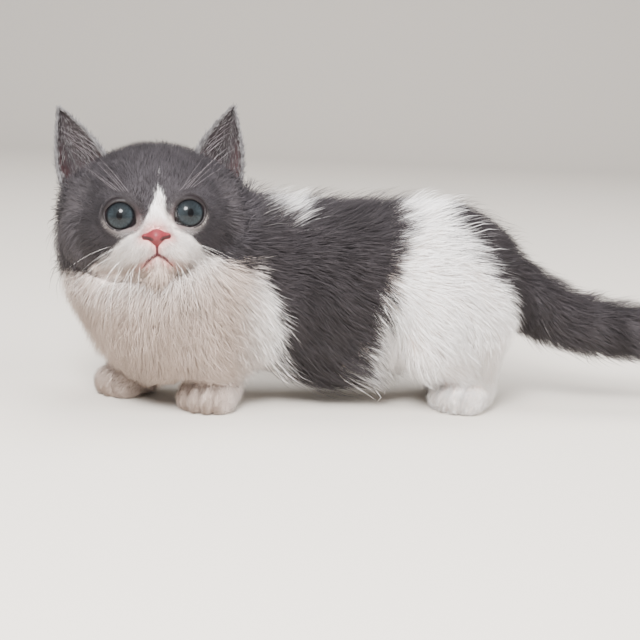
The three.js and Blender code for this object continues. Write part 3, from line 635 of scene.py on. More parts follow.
        x, z = p[:, 0], p[:, 2]
        bib = smooth(-34, -62, x)
        under = smooth(-0.2, -0.8, n[:, 2])
        flank = 1 - abs(n[:, 2])
        stifle = 0.6 * smooth(26, 38, x) * smooth(62, 44, x) * smooth(44, 30, z)
        along = np.stack([1 - 0.85 * bib - 1.5 * stifle, 0.28 - 0.1 * bib, np.zeros(len(p))], -1)
        fall = (0.55 + 0.5 * smooth(70, 35, z)) * flank + 0.4 * under + 0.7 * stifle
        fall = fall + 0.9 * bib * (1 - 0.5 * under)
        trunk = along + down * fall[:, None]

        _, tail_way = self.on_tail(p)
        tail = tail_way + 0.12 * down
        legs = np.tile(down, (len(p), 1)) + 0.25 * np.array([1, 0, 0])
        paws = np.zeros_like(p)
        for leg, mitten in zip(self.each_leg, self.mittens):
            mine = np.exp(-np.maximum(mitten(p), 0))[:, None]
            paws = paws + mine * (axes_of(leg.yaw)[0] + 0.8 * down)
        each = np.stack([unit(head), unit(trunk), unit(tail), unit(legs), unit(paws)], 1)
        way = np.sum(each * self.shares(p)[:, :, None], axis=1)
        return unit(way - n * dot(way, n)[:, None])


@dataclass(frozen=True)
class Markings:
    """Where the coat is grey and where it is white: outlines of the patches in named millimetres; also where
    painted shade goes on the bib, the chin and over the eyes.
    """

    head_z: tuple[float, ...] = (-60, -23, -21, -19, -17, -14, -10, -7, -3, 0, 4, 8, 12, 16)
    blaze_right: tuple[float, ...] = (-70, -60, -38, -29, -21, -18, -13.5, -7, -3.4, -2.5, -0.8, 0.9, 3.0, 6)
    blaze_left: tuple[float, ...] = (70, 60, 34, 24, 20, 18.5, 14, 9, 6.9, 5.8, 4.0, 2.8, 0.8, -2)
    chest_z: tuple[float, ...] = (0, 10, 26, 38, 45, 57, 65, 75, 84, 96)
    chest_x: tuple[float, ...] = (-36, -34, -27, -22, -20, -26, -36, -52, -84, -130)
    rump_z: tuple[float, ...] = (0, 22, 28, 33, 44, 63, 82, 100)
    rump_x: tuple[float, ...] = (-9, 0, 8, 15, 23, 28, 31, 32)
    croup_x: tuple[float, ...] = (38, 43, 48, 54, 62, 72, 82, 92)
    croup_z: tuple[float, ...] = (117, 93, 82, 75, 68, 61, 48, 18)
    spot_at: Triple = (-23, 8, 92)
    spot_size: Triple = (12.5, 15, 12)

    def head(self, q: Array) -> Array:
        """Distance in mm into the grey, in the head's frame.

        Args:
            q: points in the head's frame.

        Returns:
            A value for each point.
        """
        right = np.interp(q[:, 2], self.head_z, self.blaze_right)
        left = np.interp(q[:, 2], self.head_z, self.blaze_left)
        face = np.maximum(right - q[:, 1], q[:, 1] - left)
        back = q[:, 2] + 22
        share = smooth(-2, 8, q[:, 0])
        return face * share + back * (1 - share)

    def trunk(self, p: Array) -> Array:
        """Distance in mm into the grey, on the trunk and the legs.

        Args:
            p: points in the pose frame.

        Returns:
            A value for each point.
        """
        x, z = p[:, 0], p[:, 2]
        chest = x - np.interp(z, self.chest_z, self.chest_x)
        rump = np.interp(z, self.rump_z, self.rump_x) - x
        croup = z - np.interp(x, self.croup_x, self.croup_z)
        away = (p - np.array(self.spot_at)) / np.array(self.spot_size)
        spot = (np.linalg.norm(away, axis=-1) - 1) * self.spot_size[0]
        saddle = np.minimum(np.minimum(chest, rump), spot)
        return np.maximum(saddle, np.where(x > self.croup_x[0], croup, -9))

    def under_eye(self, near: Array, away: Array) -> Array:
        """How much of its grey the coat loses just under each eye."""
        return 0.34 * smooth(2.6, 0.9, near) * smooth(0.1, -0.4, away[:, 2])

    def over_eye(self, near: Array, away: Array) -> Array:
        """How much darker the coat and the skin are just over each eye: on the coat a darker grey, on the
        bare skin painted shade that stands in for the coat's self-shadow.
        """
        return smooth(4.2, 1.8, near) * smooth(-0.25, 0.15, away[:, 2])

    def pink(self, body: Body, q: Array) -> Array:
        """How far the skin shows through round the nose and the mouth, in the head's frame."""
        nose = np.exp(-np.maximum(NoseLeather().field(q), 0) / (0.9 + 1.6 * smooth(-9, -6, q[:, 2])))
        mouth = np.exp(-np.maximum(body.from_mouth(q) - 0.5, 0) / 1.3) * smooth(-23.5, -20, q[:, 2])
        return np.clip(np.maximum(0.9 * nose, 0.8 * mouth), 0, 1)

    def warm(self, body: Body, p: Array) -> Array:
        """How far the white turns to the painted warm shade that stands for shade and warm light bounced from
        the floor: on the bib, the forelegs and the chin.

        Args:
            body: the kitten's flesh.
            p: points in the pose frame.

        Returns:
            A share for each point.
        """
        # Painted shade with warm bounced light: on the bib, most on its side towards the viewer, and under
        # the chin.
        head = body.shares(p)[:, 0]
        bib = smooth(-24, -44, p[:, 0]) * smooth(92, 66, p[:, 2]) * (1 - 0.8 * head)
        bib = bib * (0.3 + 0.7 * smooth(34, 12, p[:, 1]))
        return np.maximum(bib, head * smooth(-16.5, -21, body.into_head(p)[:, 2]))

    def __call__(self, body: Body, p: Array) -> Array:
        """Distance in mm into the grey at each point of the skin.

        Args:
            body: the kitten's flesh.
            p: points in the pose frame.

        Returns:
            A value for each point.
        """
        share = body.shares(p)
        tail = np.full(len(p), 9.0) - 18 * smooth(92, 82, p[:, 0]) * smooth(62, 50, p[:, 2])
        white = np.full(len(p), -9.0)
        trunk = self.trunk(p)
        legs = np.minimum(trunk, white)
        each = np.stack([self.head(body.into_head(p)), trunk, tail, legs, white], -1)
        return dot(each, share)


@dataclass(frozen=True)
class Place:
    """The step from the pose frame, in mm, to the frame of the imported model, in metres."""

    shift: Array

    @classmethod
    def of(cls, body: Body) -> "Place":
        """Finds the step from the middles of the two eyes.

        Args:
            body: the kitten's flesh.

        Returns:
            The step.
        """
        steps = []
        for name, side in (("eye_left", 1), ("eye_right", -1)):
            low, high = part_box(name)
            found = (np.array(low) + np.array(high)) / 2 / MM
            steps.append(found - body.from_head(body.eyes.middle(side)))
        step = np.mean(steps, axis=0)
        return cls(np.array([step[0], step[1], 0.0]))

    def __call__(self, p: Array) -> Array:
        """Points of the pose frame in metres."""
        return (np.asarray(p, float) + self.shift) * MM


@dataclass
class Shape:
    """A mesh in the making: points in mm, faces of three or four corners, and what its surface carries."""

    points: Array
    faces: Array
    values: dict[str, Array] = field(default_factory=dict)
    patch: Array | None = None

    def made(self, name: str, place: Place, material: Material) -> Thing:
        """Turns the shape into an object.

        Args:
            name: of the object.
            place: the step to metres.
            material: its finish.

        Returns:
            The object, smooth shaded, at the origin.
        """
        mesh = bpy.data.meshes.new(name)
        corners = self.faces.shape[1]
        mesh.vertices.add(len(self.points))
        mesh.vertices.foreach_set("co", place(self.points).astype(np.float32).ravel())
        mesh.loops.add(self.faces.size)
        mesh.loops.foreach_set("vertex_index", self.faces.astype(np.int32).ravel())
        mesh.polygons.add(len(self.faces))
        mesh.polygons.foreach_set("loop_start", np.arange(0, self.faces.size, corners, dtype=np.int32))
        for key, value in self.values.items():
            mesh.attributes.new(key, "FLOAT", "POINT").data.foreach_set("value", value.astype(np.float32))
        if self.patch is not None:
            layer = mesh.uv_layers.new(name="OFBake")
            layer.data.foreach_set("uv", self.patch[self.faces.ravel()].astype(np.float32).ravel())
        mesh.update(calc_edges=True)
        mesh.validate()
        mesh.shade_smooth()
        mesh.materials.append(material)
        LOG.info("%s: %d faces", name, len(mesh.polygons))
        return linked(name, mesh)


def joined(shapes: Sequence[Shape]) -> Shape:
    """Several shapes with faces of as many corners as one shape; a value that one lacks is 0 there.

    Args:
        shapes: at least one shape.

    Returns:
        One shape.
    """
    keys = sorted({key for shape in shapes for key in shape.values})
    starts = np.cumsum([0] + [len(shape.points) for shape in shapes[:-1]])
    faces = np.concatenate([shape.faces + start for shape, start in zip(shapes, starts)])
    values = {}
    for key in keys:
        each = [shape.values.get(key, np.zeros(len(shape.points))) for shape in shapes]
        values[key] = np.concatenate(each)
    patch = None
    if all(shape.patch is not None for shape in shapes):
        patch = np.concatenate([shape.patch for shape in shapes])
    return Shape(np.concatenate([shape.points for shape in shapes]), faces, values, patch)


def ticks(*stops: tuple[float, float]) -> Array:
    """Grid lines. Each stop is a place and the spacing from there on; the last spacing isn't used.

    Args:
        *stops: places and spacings.

    Returns:
        The places of the lines.
    """
    lines = []
    for (start, gap), (end, _) in zip(stops[:-1], stops[1:]):
        lines.append(np.linspace(start, end, max(1, round((end - start) / gap)), endpoint=False))
    return np.append(np.concatenate(lines), stops[-1][0])


def surface_net(of: Field, lines: Sequence[Array]) -> Shape:
    """A closed mesh of a field's zero level, with a point in each cell that the level crosses.

    Args:
        of: the field.
        lines: the grid lines along x, y and z, which hold the level with room to spare.

    Returns:
        A shape of four-cornered faces that point out.
    """
    count = [len(line) for line in lines]
    grid = np.stack(np.meshgrid(*lines, indexing="ij"), -1)
    value = np.concatenate([of(part.reshape(-1, 3)) for part in np.array_split(grid, SLICES)]).reshape(count)
    cells = [n - 1 for n in count]
    weight = np.zeros(cells)
    total = np.zeros((*cells, 3))
    for axis in range(3):
        others = [a for a in range(3) if a != axis]
        for c in range(4):
            low = [0, 0, 0]
            low[others[0]], low[others[1]] = c & 1, c >> 1
            high = list(low)
            high[axis] = 1
            a = value[tuple(slice(o, o + n) for o, n in zip(low, cells))]
            b = value[tuple(slice(o, o + n) for o, n in zip(high, cells))]
            crossed = (a < 0) != (b < 0)
            t = np.where(crossed, a / np.where(crossed, a - b, 1), 0)
            at = np.stack([t if k == axis else np.full(t.shape, float(low[k])) for k in range(3)], -1)
            total += at * crossed[..., None]
            weight += crossed
    found = weight > 0
    index = np.full(cells, -1)
    index[found] = np.arange(found.sum())
    where = np.argwhere(found)
    share = total[found] / weight[found][:, None]
    points = np.empty((len(where), 3))
    for k in range(3):
        low = lines[k][where[:, k]]
        points[:, k] = low + (lines[k][where[:, k] + 1] - low) * share[:, k]
    faces = []
    for axis in range(3):
        b, c = (axis + 1) % 3, (axis + 2) % 3
        inside = value < 0
        first = np.take(inside, range(count[axis] - 1), axis)
        second = np.take(inside, range(1, count[axis]), axis)
        for out, mask in ((True, first & ~second), (False, ~first & second)):
            at = np.argwhere(mask)
            ring = []
            for db, dc in ((0, 0), (-1, 0), (-1, -1), (0, -1)):
                cell = at.copy()
                cell[:, b] += db
                cell[:, c] += dc
                ring.append(index[tuple(cell.T)])
            ring = ring if out else ring[::-1]
            faces.append(np.stack(ring, -1))
    return Shape(points, np.concatenate(faces))


def settled(of: Field, shape: Shape, rounds: int = 2) -> Shape:
    """The shape with its points moved onto the field's zero level, by at most 0.6 mm a round.

    Args:
        of: the field.
        shape: the shape.
        rounds: how often the points are moved.

    Returns:
        The moved shape.
    """
    points = shape.points
    for _ in range(rounds):
        step = np.clip(of(points), -0.6, 0.6)
        points = points - gradient(of, points) * step[:, None]
    return Shape(points, shape.faces, shape.values, shape.patch)


def sweep(path: Array, radii: Array, sides: int = 8) -> Shape:
    """A closed tube through points, with its own radius at each.

    Args:
        path: the tube's middle line.
        radii: one for each point of it.
        sides: corners of a ring.

    Returns:
        A shape of triangles.
    """
    way = unit(np.gradient(path, axis=0))
    side = unit(np.cross(way, [0.13, 0.21, 1.0]))
    top = np.cross(side, way)
    turn = np.arange(sides) * 2 * math.pi / sides
    ring = side[:, None] * np.cos(turn)[None, :, None] + top[:, None] * np.sin(turn)[None, :, None]
    points = (path[:, None] + ring * np.asarray(radii)[:, None, None]).reshape(-1, 3)
    count = len(path)
    faces = []
    for i in range(count - 1):
        for s in range(sides):
            a, b = i * sides + s, i * sides + (s + 1) % sides
            faces.append((a, b, b + sides, a + sides))
    points = np.concatenate([points, path[:1], path[-1:]])
    for s in range(sides):
        t = (s + 1) % sides
        last = (count - 1) * sides
        faces.append((count * sides, t, s, s))
        faces.append((count * sides + 1, last + s, last + t, last + t))
    quads = np.array(faces)
    return triangles(Shape(points, quads))


def triangles(shape: Shape) -> Shape:
    """The shape with its four-cornered faces split, and faces of no area dropped.

    Args:
        shape: the shape.

    Returns:
        A shape of triangles.
    """
    if shape.faces.shape[1] == 3:
        return shape
    a, b, c, d = shape.faces.T
    faces = np.concatenate([np.stack([a, b, c], -1), np.stack([a, c, d], -1)])
    whole = (faces[:, 0] != faces[:, 1]) & (faces[:, 1] != faces[:, 2]) & (faces[:, 0] != faces[:, 2])
    return Shape(shape.points, faces[whole], shape.values, shape.patch)


class Sampled:
    """A field kept on a grid, for quick values and normals at many points."""

    def __init__(self, of: Field, low: Triple, high: Triple, gap: float) -> None:
        """Samples the field.

        Args:
            of: the field.
            low: lowest corner of the grid.
            high: highest corner of the grid.
            gap: spacing of the grid in mm.
        """
        self.low = np.array(low, float)
        self.gap = gap
        lines = [np.arange(a, b, gap) for a, b in zip(low, high)]
        grid = np.stack(np.meshgrid(*lines, indexing="ij"), -1)
        value = np.concatenate([of(part.reshape(-1, 3)) for part in np.array_split(grid, SLICES)])
        value = value.reshape(grid.shape[:3])
        self.table = np.stack([value, *np.gradient(value, gap)], -1).astype(np.float32)

    def __call__(self, p: Array) -> tuple[Array, Array]:
        """Value and outward normal at each point.

        Args:
            p: points.

        Returns:
            A value, and a unit vector, for each point.
        """
        top = np.array(self.table.shape[:3]) - 1.001
        at = np.clip((p - self.low) / self.gap, 0, top)
        cell = at.astype(int)
        t = at - cell
        total = np.zeros((len(p), 4))
        for corner in range(8):
            bits = np.array([corner & 1, corner >> 1 & 1, corner >> 2])
            share = np.prod(np.where(bits, t, 1 - t), axis=-1)
            total += self.table[tuple((cell + bits).T)] * share[:, None]
        return total[:, 0], unit(total[:, 1:])


class Wire:
    """An output of a node, for use in sums with numbers and other outputs."""

    def __init__(self, graph: "Graph", socket: bpy.types.NodeSocket) -> None:
        """Holds the output and the graph that it belongs to."""
        self.graph = graph
        self.socket = socket

    def sum(self, how: str, first: Any, second: Any) -> "Wire":
        """A Math node with these two inputs."""
        return self.graph.wire("ShaderNodeMath", {0: first, 1: second}, operation=how)

    def __add__(self, other: Any) -> "Wire":
        """This plus other."""
        return self.sum("ADD", self, other)

    def __sub__(self, other: Any) -> "Wire":
        """This less other."""
        return self.sum("SUBTRACT", self, other)

    def __rsub__(self, other: Any) -> "Wire":
        """Other less this."""
        return self.sum("SUBTRACT", other, self)

    def __mul__(self, other: Any) -> "Wire":
        """This times other."""
        return self.sum("MULTIPLY", self, other)

    def __truediv__(self, other: Any) -> "Wire":
        """This over other."""
        return self.sum("DIVIDE", self, other)

    def __rtruediv__(self, other: Any) -> "Wire":
        """Other over this."""
        return self.sum("DIVIDE", other, self)

    __radd__ = __add__
    __rmul__ = __mul__

    def step(self, low: float, high: float) -> "Wire":
        """A soft step of this from 0 at low to 1 at high."""
        inputs = {"Value": self, "From Min": low, "From Max": high}
        return self.graph.wire("ShaderNodeMapRange", inputs, interpolation_type="SMOOTHSTEP")

    def between(self, none: Any, full: Any) -> "Wire":
        """The colour none where this is 0, full where it is 1, and a mix between."""
        inputs = {"Factor": self, "A": none, "B": full}
        return self.graph.mix(inputs, "MIX")


class Graph:
    """A node tree that is filled by one method."""

    def __init__(self, tree: bpy.types.NodeTree) -> None:
        """Holds the tree."""
        self.tree = tree

    def node(self, kind: str, inputs: dict[Any, Any] | None = None, **settings: Any) -> bpy.types.Node:
        """Adds a node.

        Args:
            kind: the node's type.
            inputs: values or wires by the input's name or number.
            **settings: properties of the node, set before its inputs.

        Returns:
            The node.
        """
        node = self.tree.nodes.new(kind)
        for key, value in settings.items():
            setattr(node, key, value)
        for key, value in (inputs or {}).items():
            self.plug(node.inputs[key], value)
        return node

    def plug(self, socket: bpy.types.NodeSocket, value: Any) -> None:
        """Links one input to a wire, or sets it to a value.

        Args:
            socket: the input.
            value: a wire or a value.
        """
        if isinstance(value, Wire):
            self.tree.links.new(value.socket, socket)
        else:
            socket.default_value = value

    def wire(self, kind: str, inputs: dict[Any, Any] | None = None, out: Any = 0, **settings: Any) -> Wire:
        """Adds a node and gives one of its outputs."""
        return Wire(self, self.node(kind, inputs, **settings).outputs[out])

    def mix(self, inputs: dict[str, Any], how: str) -> Wire:
        """A colour Mix node; the inputs are Factor, A and B.

        Args:
            inputs: values or wires by name.
            how: the way that the two colours mix.

        Returns:
            The mixed colour.
        """
        node = self.node("ShaderNodeMix", data_type="RGBA", blend_type=how)
        live = {socket.name: socket for socket in node.inputs if socket.enabled}
        for key, value in inputs.items():
            self.plug(live[key], value)
        return Wire(self, next(socket for socket in node.outputs if socket.enabled))

    def times(self, colour: Wire, other: Any) -> Wire:
        """One colour times another."""
        return self.mix({"Factor": 1.0, "A": colour, "B": other}, "MULTIPLY")

    def value(self, name: str) -> Wire:
        """A float attribute of the mesh."""
        return self.wire("ShaderNodeAttribute", out="Fac", attribute_name=name)

    def noise(self, scale: float, detail: float = 2.0, rough: float = 0.5) -> Wire:
        """Noise on Object coordinates; scale is in waves for each metre."""
        where = self.wire("ShaderNodeTexCoord", out="Object")
        inputs = {"Vector": where, "Scale": scale, "Detail": detail, "Roughness": rough}
        return self.wire("ShaderNodeTexNoise", inputs)


def srgb(red: float, green: float, blue: float) -> Colour:
    """A colour given as on a screen, from 0 to 255, as linear values."""
    each = [v / 255 for v in (red, green, blue)]
    line = [v / 12.92 if v <= 0.04045 else ((v + 0.055) / 1.055) ** 2.4 for v in each]
    return (*line, 1.0)


def even(grey: float) -> Colour:
    """A grey with the same red, green and blue."""
    return (grey, grey, grey, 1.0)


@dataclass(frozen=True)
class Finish:
    """A material with one colour, or one that paint works out."""

    name: str
    colour: Colour
    roughness: float = 0.6
    specular: float = 0.4
    coat: float = 0.0
    bump: float = 0.0
    bump_scale: float = 900.0

    def paint(self, graph: Graph) -> dict[str, Any]:
        """Inputs of the shader that vary."""
        return {}

    def material(self) -> Material:
        """Makes the material.

        Returns:
            The material.
        """
        made = bpy.data.materials.new(self.name)
        made.use_nodes = True
        graph = Graph(made.node_tree)
        shader = made.node_tree.nodes["Principled BSDF"]
        fixed = {
            "Base Color": self.colour,
            "Roughness": self.roughness,
            "Specular IOR Level": self.specular,
            "Coat Weight": self.coat,
            "Coat Roughness": 0.03,
        }
        if self.bump:
            inputs = {"Height": graph.noise(self.bump_scale), "Strength": self.bump, "Distance": 0.0006}
            fixed["Normal"] = graph.wire("ShaderNodeBump", inputs)
        for key, value in {**fixed, **self.paint(graph)}.items():
            graph.plug(shader.inputs[key], value)
        return made


@dataclass(frozen=True)
class FurFinish(Finish):
    """Hair that is white or grey by its grey value, darker towards its root as painted shade deep in the
    coat, with a tone of its own.
    """

    # Root colours: painted shade deep in the coat, where the tufts shadow each other.
    white_root: Colour = srgb(240, 230, 222)
    # warm_shade: painted shade, the white as it looks in shade lit by warm light from the floor.
    warm_shade: Colour = srgb(192, 174, 163)
    pink: Colour = srgb(196, 118, 114)
    grey_tip: Colour = srgb(66, 62, 65)
    grey_root: Colour = srgb(42, 39, 40)
    dark_tip: Colour = srgb(53, 49, 51)

    def paint(self, graph: Graph) -> dict[str, Any]:
        """The hair's colour.

        Args:
            graph: the material's node tree.

        Returns:
            The shader's inputs that vary.
        """
        # along runs each hair from its painted-shade root colour to its tip colour.
        along = graph.value("along").step(0.0, 0.7)
        tone = graph.value("tone")
        # The warm attribute mixes in the painted warm shade.
        white = graph.value("warm").between(along.between(self.white_root, self.colour), self.warm_shade)
        white = graph.value("pink").between(self.toned(graph, white, tone, 0.82, 1.05), self.pink)
        soft = graph.value("dark").between(self.grey_tip, self.dark_tip)
        grey = self.toned(graph, along.between(self.grey_root, soft), tone, 0.72, 1.3)
        return {"Base Color": graph.value("grey").between(white, grey)}

    def toned(self, graph: Graph, colour: Wire, tone: Wire, low: float, high: float) -> Wire:
        """The colour times low where the tone is 0 and times high where it is 1."""
        return graph.times(colour, tone.between(even(low), even(high)))


@dataclass(frozen=True)
class SkinFinish(Finish):
    """Skin under the coat, with the coat's own markings, darker than the coat as painted shade deep in the
    coat, and with painted shade on the bib, the chin and over the eyes.
    """

    # warm_shade: painted shade, the skin's white in shade lit by warm light from the floor.
    warm_shade: Colour = srgb(206, 190, 180)
    # lid: painted shade on the bare skin just over each eye.
    lid: Colour = srgb(24, 20, 21)
    # grey: the undercoat's grey, darkened as painted shade deep in the coat.
    grey: Colour = srgb(50, 46, 48)
    pink: Colour = srgb(186, 104, 102)

    def paint(self, graph: Graph) -> dict[str, Any]:
        """The skin's colour.

        Args:
            graph: the material's node tree.

        Returns:
            The shader's inputs that vary.
        """
        # The warm attribute mixes in the painted warm shade.
        white = graph.value("warm").between(self.colour, self.warm_shade)
        furred = graph.value("grey").between(white, self.grey)
        # The dark attribute mixes in the painted shade over the eyes.
        furred = graph.value("dark").between(furred, self.lid)
        return {"Base Color": graph.value("pink").between(furred, self.pink)}


@dataclass(frozen=True)
class EarFinish(Finish):
    """The inside of an ear: dark grey, with a dull pink at its foot and its outer side."""

    pink: Colour = srgb(66, 46, 47)

    def paint(self, graph: Graph) -> dict[str, Any]:
        """The ear's colour."""
        return {"Base Color": graph.value("pink").between(self.colour, self.pink)}


@dataclass(frozen=True)
class NoseFinish(Finish):
    """Pink nose leather, with painted shade in the nostrils."""

    # dark: painted shade inside the nostrils.
    dark: Colour = srgb(34, 9, 12)

    def paint(self, graph: Graph) -> dict[str, Any]:
        """The leather's colour."""
        return {"Base Color": graph.value("deep").between(self.colour, self.dark)}


@dataclass(frozen=True)
class EyeFinish(Finish):
    """A grey-blue iris round a small pupil, with a painted shadow of the lid over its top and painted shade
    on the eye outside the iris; arc is the distance in mm from the middle of the iris.
    """

    iris: float = 6.3
    inner: Colour = srgb(21, 25, 27)
    outer: Colour = srgb(32, 38, 41)
    edge: Colour = srgb(10, 11, 13)
    # corner: painted shade, the white of the eye in the lid's shadow.
    corner: Colour = srgb(30, 24, 26)
    pale_streak: Colour = even(1.35)
    deep_streak: Colour = (0.5, 0.5, 0.52, 1.0)

    def paint(self, graph: Graph) -> dict[str, Any]:
        """The eye's colour.

        Args:
            graph: the material's node tree.

        Returns:
            The shader's inputs that vary.
        """
        arc = graph.value("arc")
        where = graph.node("ShaderNodeCombineXYZ")
        for i, name in enumerate(("turn_x", "turn_y")):
            graph.plug(where.inputs[i], graph.value(name) * 5.0)
        graph.plug(where.inputs[2], arc * 0.35)
        inputs = {"Vector": Wire(graph, where.outputs[0]), "Scale": 2.2, "Detail": 5.0, "Roughness": 0.6}
        rays = graph.wire("ShaderNodeTexNoise", inputs)
        iris = arc.step(1.5, 5.0).between(self.inner, self.outer)
        deep, pale = (graph.times(iris, streak) for streak in (self.deep_streak, self.pale_streak))
        streaked = rays.step(0.3, 0.7).between(deep, pale)
        # Painted shadow of the upper lid, darkening the top of the iris towards the edge colour.
        lid_shadow = (arc * graph.value("turn_y")).step(0.2, 5.2)
        shaded = (lid_shadow * 0.75).between(streaked, self.edge)
        ringed = (arc + rays * 0.3).step(self.iris - 1.2, self.iris - 0.3).between(shaded, self.edge)
        # Outside the iris the eye takes the painted shade of the corner colour.
        outside = arc.step(self.iris, self.iris + 0.5).between(ringed, self.corner)
        return {"Base Color": graph.value("pupil").step(0.9, 1.08).between(self.colour, outside)}


@dataclass(frozen=True)
class Tufts:
    """How the tufts of one kind are built, from the root on; width has no value for the tip."""

    along: tuple[float, ...]
    rise: tuple[float, ...]
    width: tuple[float, ...]
    clump: tuple[float, ...]


SPIKES = Tufts((0.0, 1.0), rise=(0.3, 1.0), width=(1.0,), clump=(0.0, 1.0))
SHORT_TUFTS = Tufts((0.0, 0.5, 1.0), rise=(0.42, 0.8, 1.0), width=(0.9, 1.0), clump=(0.0, 0.5, 1.0))
LONG_TUFTS = Tufts(
    (0.0, 0.3, 0.65, 1.0), rise=(0.4, 0.66, 0.88, 1.0), width=(0.8, 1.0, 0.75), clump=(0.0, 0.3, 0.75, 1.0),
)


@dataclass
class Roots:
    """Tufts to grow: where each is rooted, which way it lies, and how long, deep and wide it is."""

    points: Array
    normals: Array
    ways: Array
    depth: Array
    length: Array
    width: Array
    grey: Array
    tone: Array
    dark: Array
    warm: Array
    pink: Array
    clump: Array

    def taken(self, which: Array) -> "Roots":
        """The roots that a mask or list of numbers picks."""
        return Roots(*[getattr(self, name)[which] for name in self.__dataclass_fields__])


def spiked(
    path: Array, ups: Array, widths: Array, flatness: float, along: Array, flat: Array,
    values: dict[str, Array],
) -> Shape:
    """Closed three-sided spikes along paths, each with a small patch of the unwrapped skin.

    Args:
        path: points of each spike, from its root to its tip.
        ups: the way away from the skin, at each point under the tip.
        widths: half width of each spike, at each point under the tip.
        flatness: height of a spike for each unit of its width.
        along: place of each point along a spike, from 0 to 1.
        flat: each root's place on the unwrapped skin, from 0 to 1.
        values: what each spike's surface carries.

    Returns:
        A shape of triangles.
    """
    count, knots = path.shape[:2]
    forward = unit(path[:, 1:] - path[:, :-1])
    points = []
    for k in range(knots - 1):
        side = unit(np.cross(ups[:, k], forward[:, k]))
        for corner in SPIKE_CORNERS:
            off = side * math.cos(corner) + ups[:, k] * math.sin(corner) * flatness
            points.append(path[:, k] + off * widths[:, k, None])
    points.append(path[:, -1])
    each = len(points)
    faces = [(0, 2, 1)]
    for k in range(knots - 2):
        for corner in range(3):
            a, b = 3 * k + corner, 3 * k + (corner + 1) % 3
            faces += [(a, b, b + 3), (a, b + 3, a + 3)]
    for corner in range(3):
        faces.append((each - 4 + corner, each - 4 + (corner + 1) % 3, each - 1))
    starts = np.arange(count)[:, None, None] * each
    along = np.repeat(along, [3] * (knots - 1) + [1])
    carried = {"along": np.tile(along, count)}
    for key, value in values.items():
        carried[key] = np.repeat(value, each)
    across = np.concatenate([np.tile([0.0, 0.5, 1.0], knots - 1), [0.5]])
    patch = np.stack([across, along], -1)[None] - 0.5
    patch = (flat[:, None] * (1 - PATCH) + PATCH / 2 + patch * PATCH).reshape(-1, 2)
    faces = (starts + np.array(faces)[None]).reshape(-1, 3)
    return Shape(np.stack(points, 1).reshape(-1, 3), faces, carried, patch)


def grown(roots: Roots, form: Tufts, hull: Sampled, flat: Array, rng: np.random.Generator) -> Shape:
    """Grows a tuft from each root, as a flat, closed, three-sided spike that follows the skin.

    Args:
        roots: of the tufts.
        form: how the tufts are built.
        hull: the skin's field.
        flat: each root's place on the unwrapped skin, from 0 to 1.
        rng: random numbers.

    Returns:
        A shape of triangles.
    """
    count = len(roots.points)
    path = [roots.points + roots.normals * (roots.depth * form.rise[0] - 0.25)[:, None]]
    ups = [roots.normals]
    ways = roots.ways
    lift = rng.uniform(0.87, 1.07, count) + 0.35 * rng.random(count) ** 3 * (roots.depth < 5)
    at = roots.points
    for k in range(1, len(form.along)):
        step = roots.length * (form.along[k] - form.along[k - 1])
        at = at + ways * step[:, None]
        value, up = hull(at)
        at = at + up * (roots.depth * form.rise[k] * lift - value)[:, None]
        at[:, 2] = np.maximum(at[:, 2], roots.width + 0.1)
        ways = unit(ways - up * dot(ways, up)[:, None])
        path.append(at)
        ups.append(up)
    path = np.stack(path, 1)
    leaders = rng.permutation(count)[: max(1, count // 10)]
    mate = nearest(roots.points, roots.points[leaders])
    pull = roots.clump[:, None] * np.array(form.clump)
    pull = pull * rng.uniform(0.6, 1.0, (count, 1))
    path = path + (path[leaders][mate] - path) * pull[:, :, None]

    widths = roots.width[:, None] * np.array(form.width)
    values = {key: getattr(roots, key) for key in ("grey", "tone", "dark", "warm", "pink")}
    return spiked(path, np.stack(ups[:-1], 1), widths, TUFT_FLATNESS, np.array(form.along), flat, values)


def nearest(points: Array, leaders: Array) -> Array:
    """For each point, the number of the nearest leader.

    Args:
        points: the points.
        leaders: the points to choose from.

    Returns:
        A number for each point.
    """
    found = []
    square = dot(leaders, leaders)
    for part in np.array_split(points, max(1, len(points) // 3000)):
        found.append(np.argmin(square[None] - 2 * part @ leaders.T, axis=1))
    return np.concatenate(found)


def scattered(shape: Shape, density: Array, rng: np.random.Generator) -> tuple[Array, Array]:
    """Random points on a mesh of triangles.

    Args:
        shape: the mesh.
        density: points for each square mm, at each face.
        rng: random numbers.

    Returns:
        The points, and the face that each lies on.
    """
    a, b, c = (shape.points[shape.faces[:, k]] for k in range(3))
    area = np.linalg.norm(np.cross(b - a, c - a), axis=-1) / 2
    weight = area * density
    total = int(weight.sum())
    face = np.searchsorted(np.cumsum(weight) / weight.sum(), rng.random(total))
    face = np.minimum(face, len(area) - 1)
    u, v = rng.random((2, total, 1))
    u, v = np.where(u + v > 1, 1 - u, u), np.where(u + v > 1, 1 - v, v)
    return a[face] + (b - a)[face] * u + (c - a)[face] * v, face


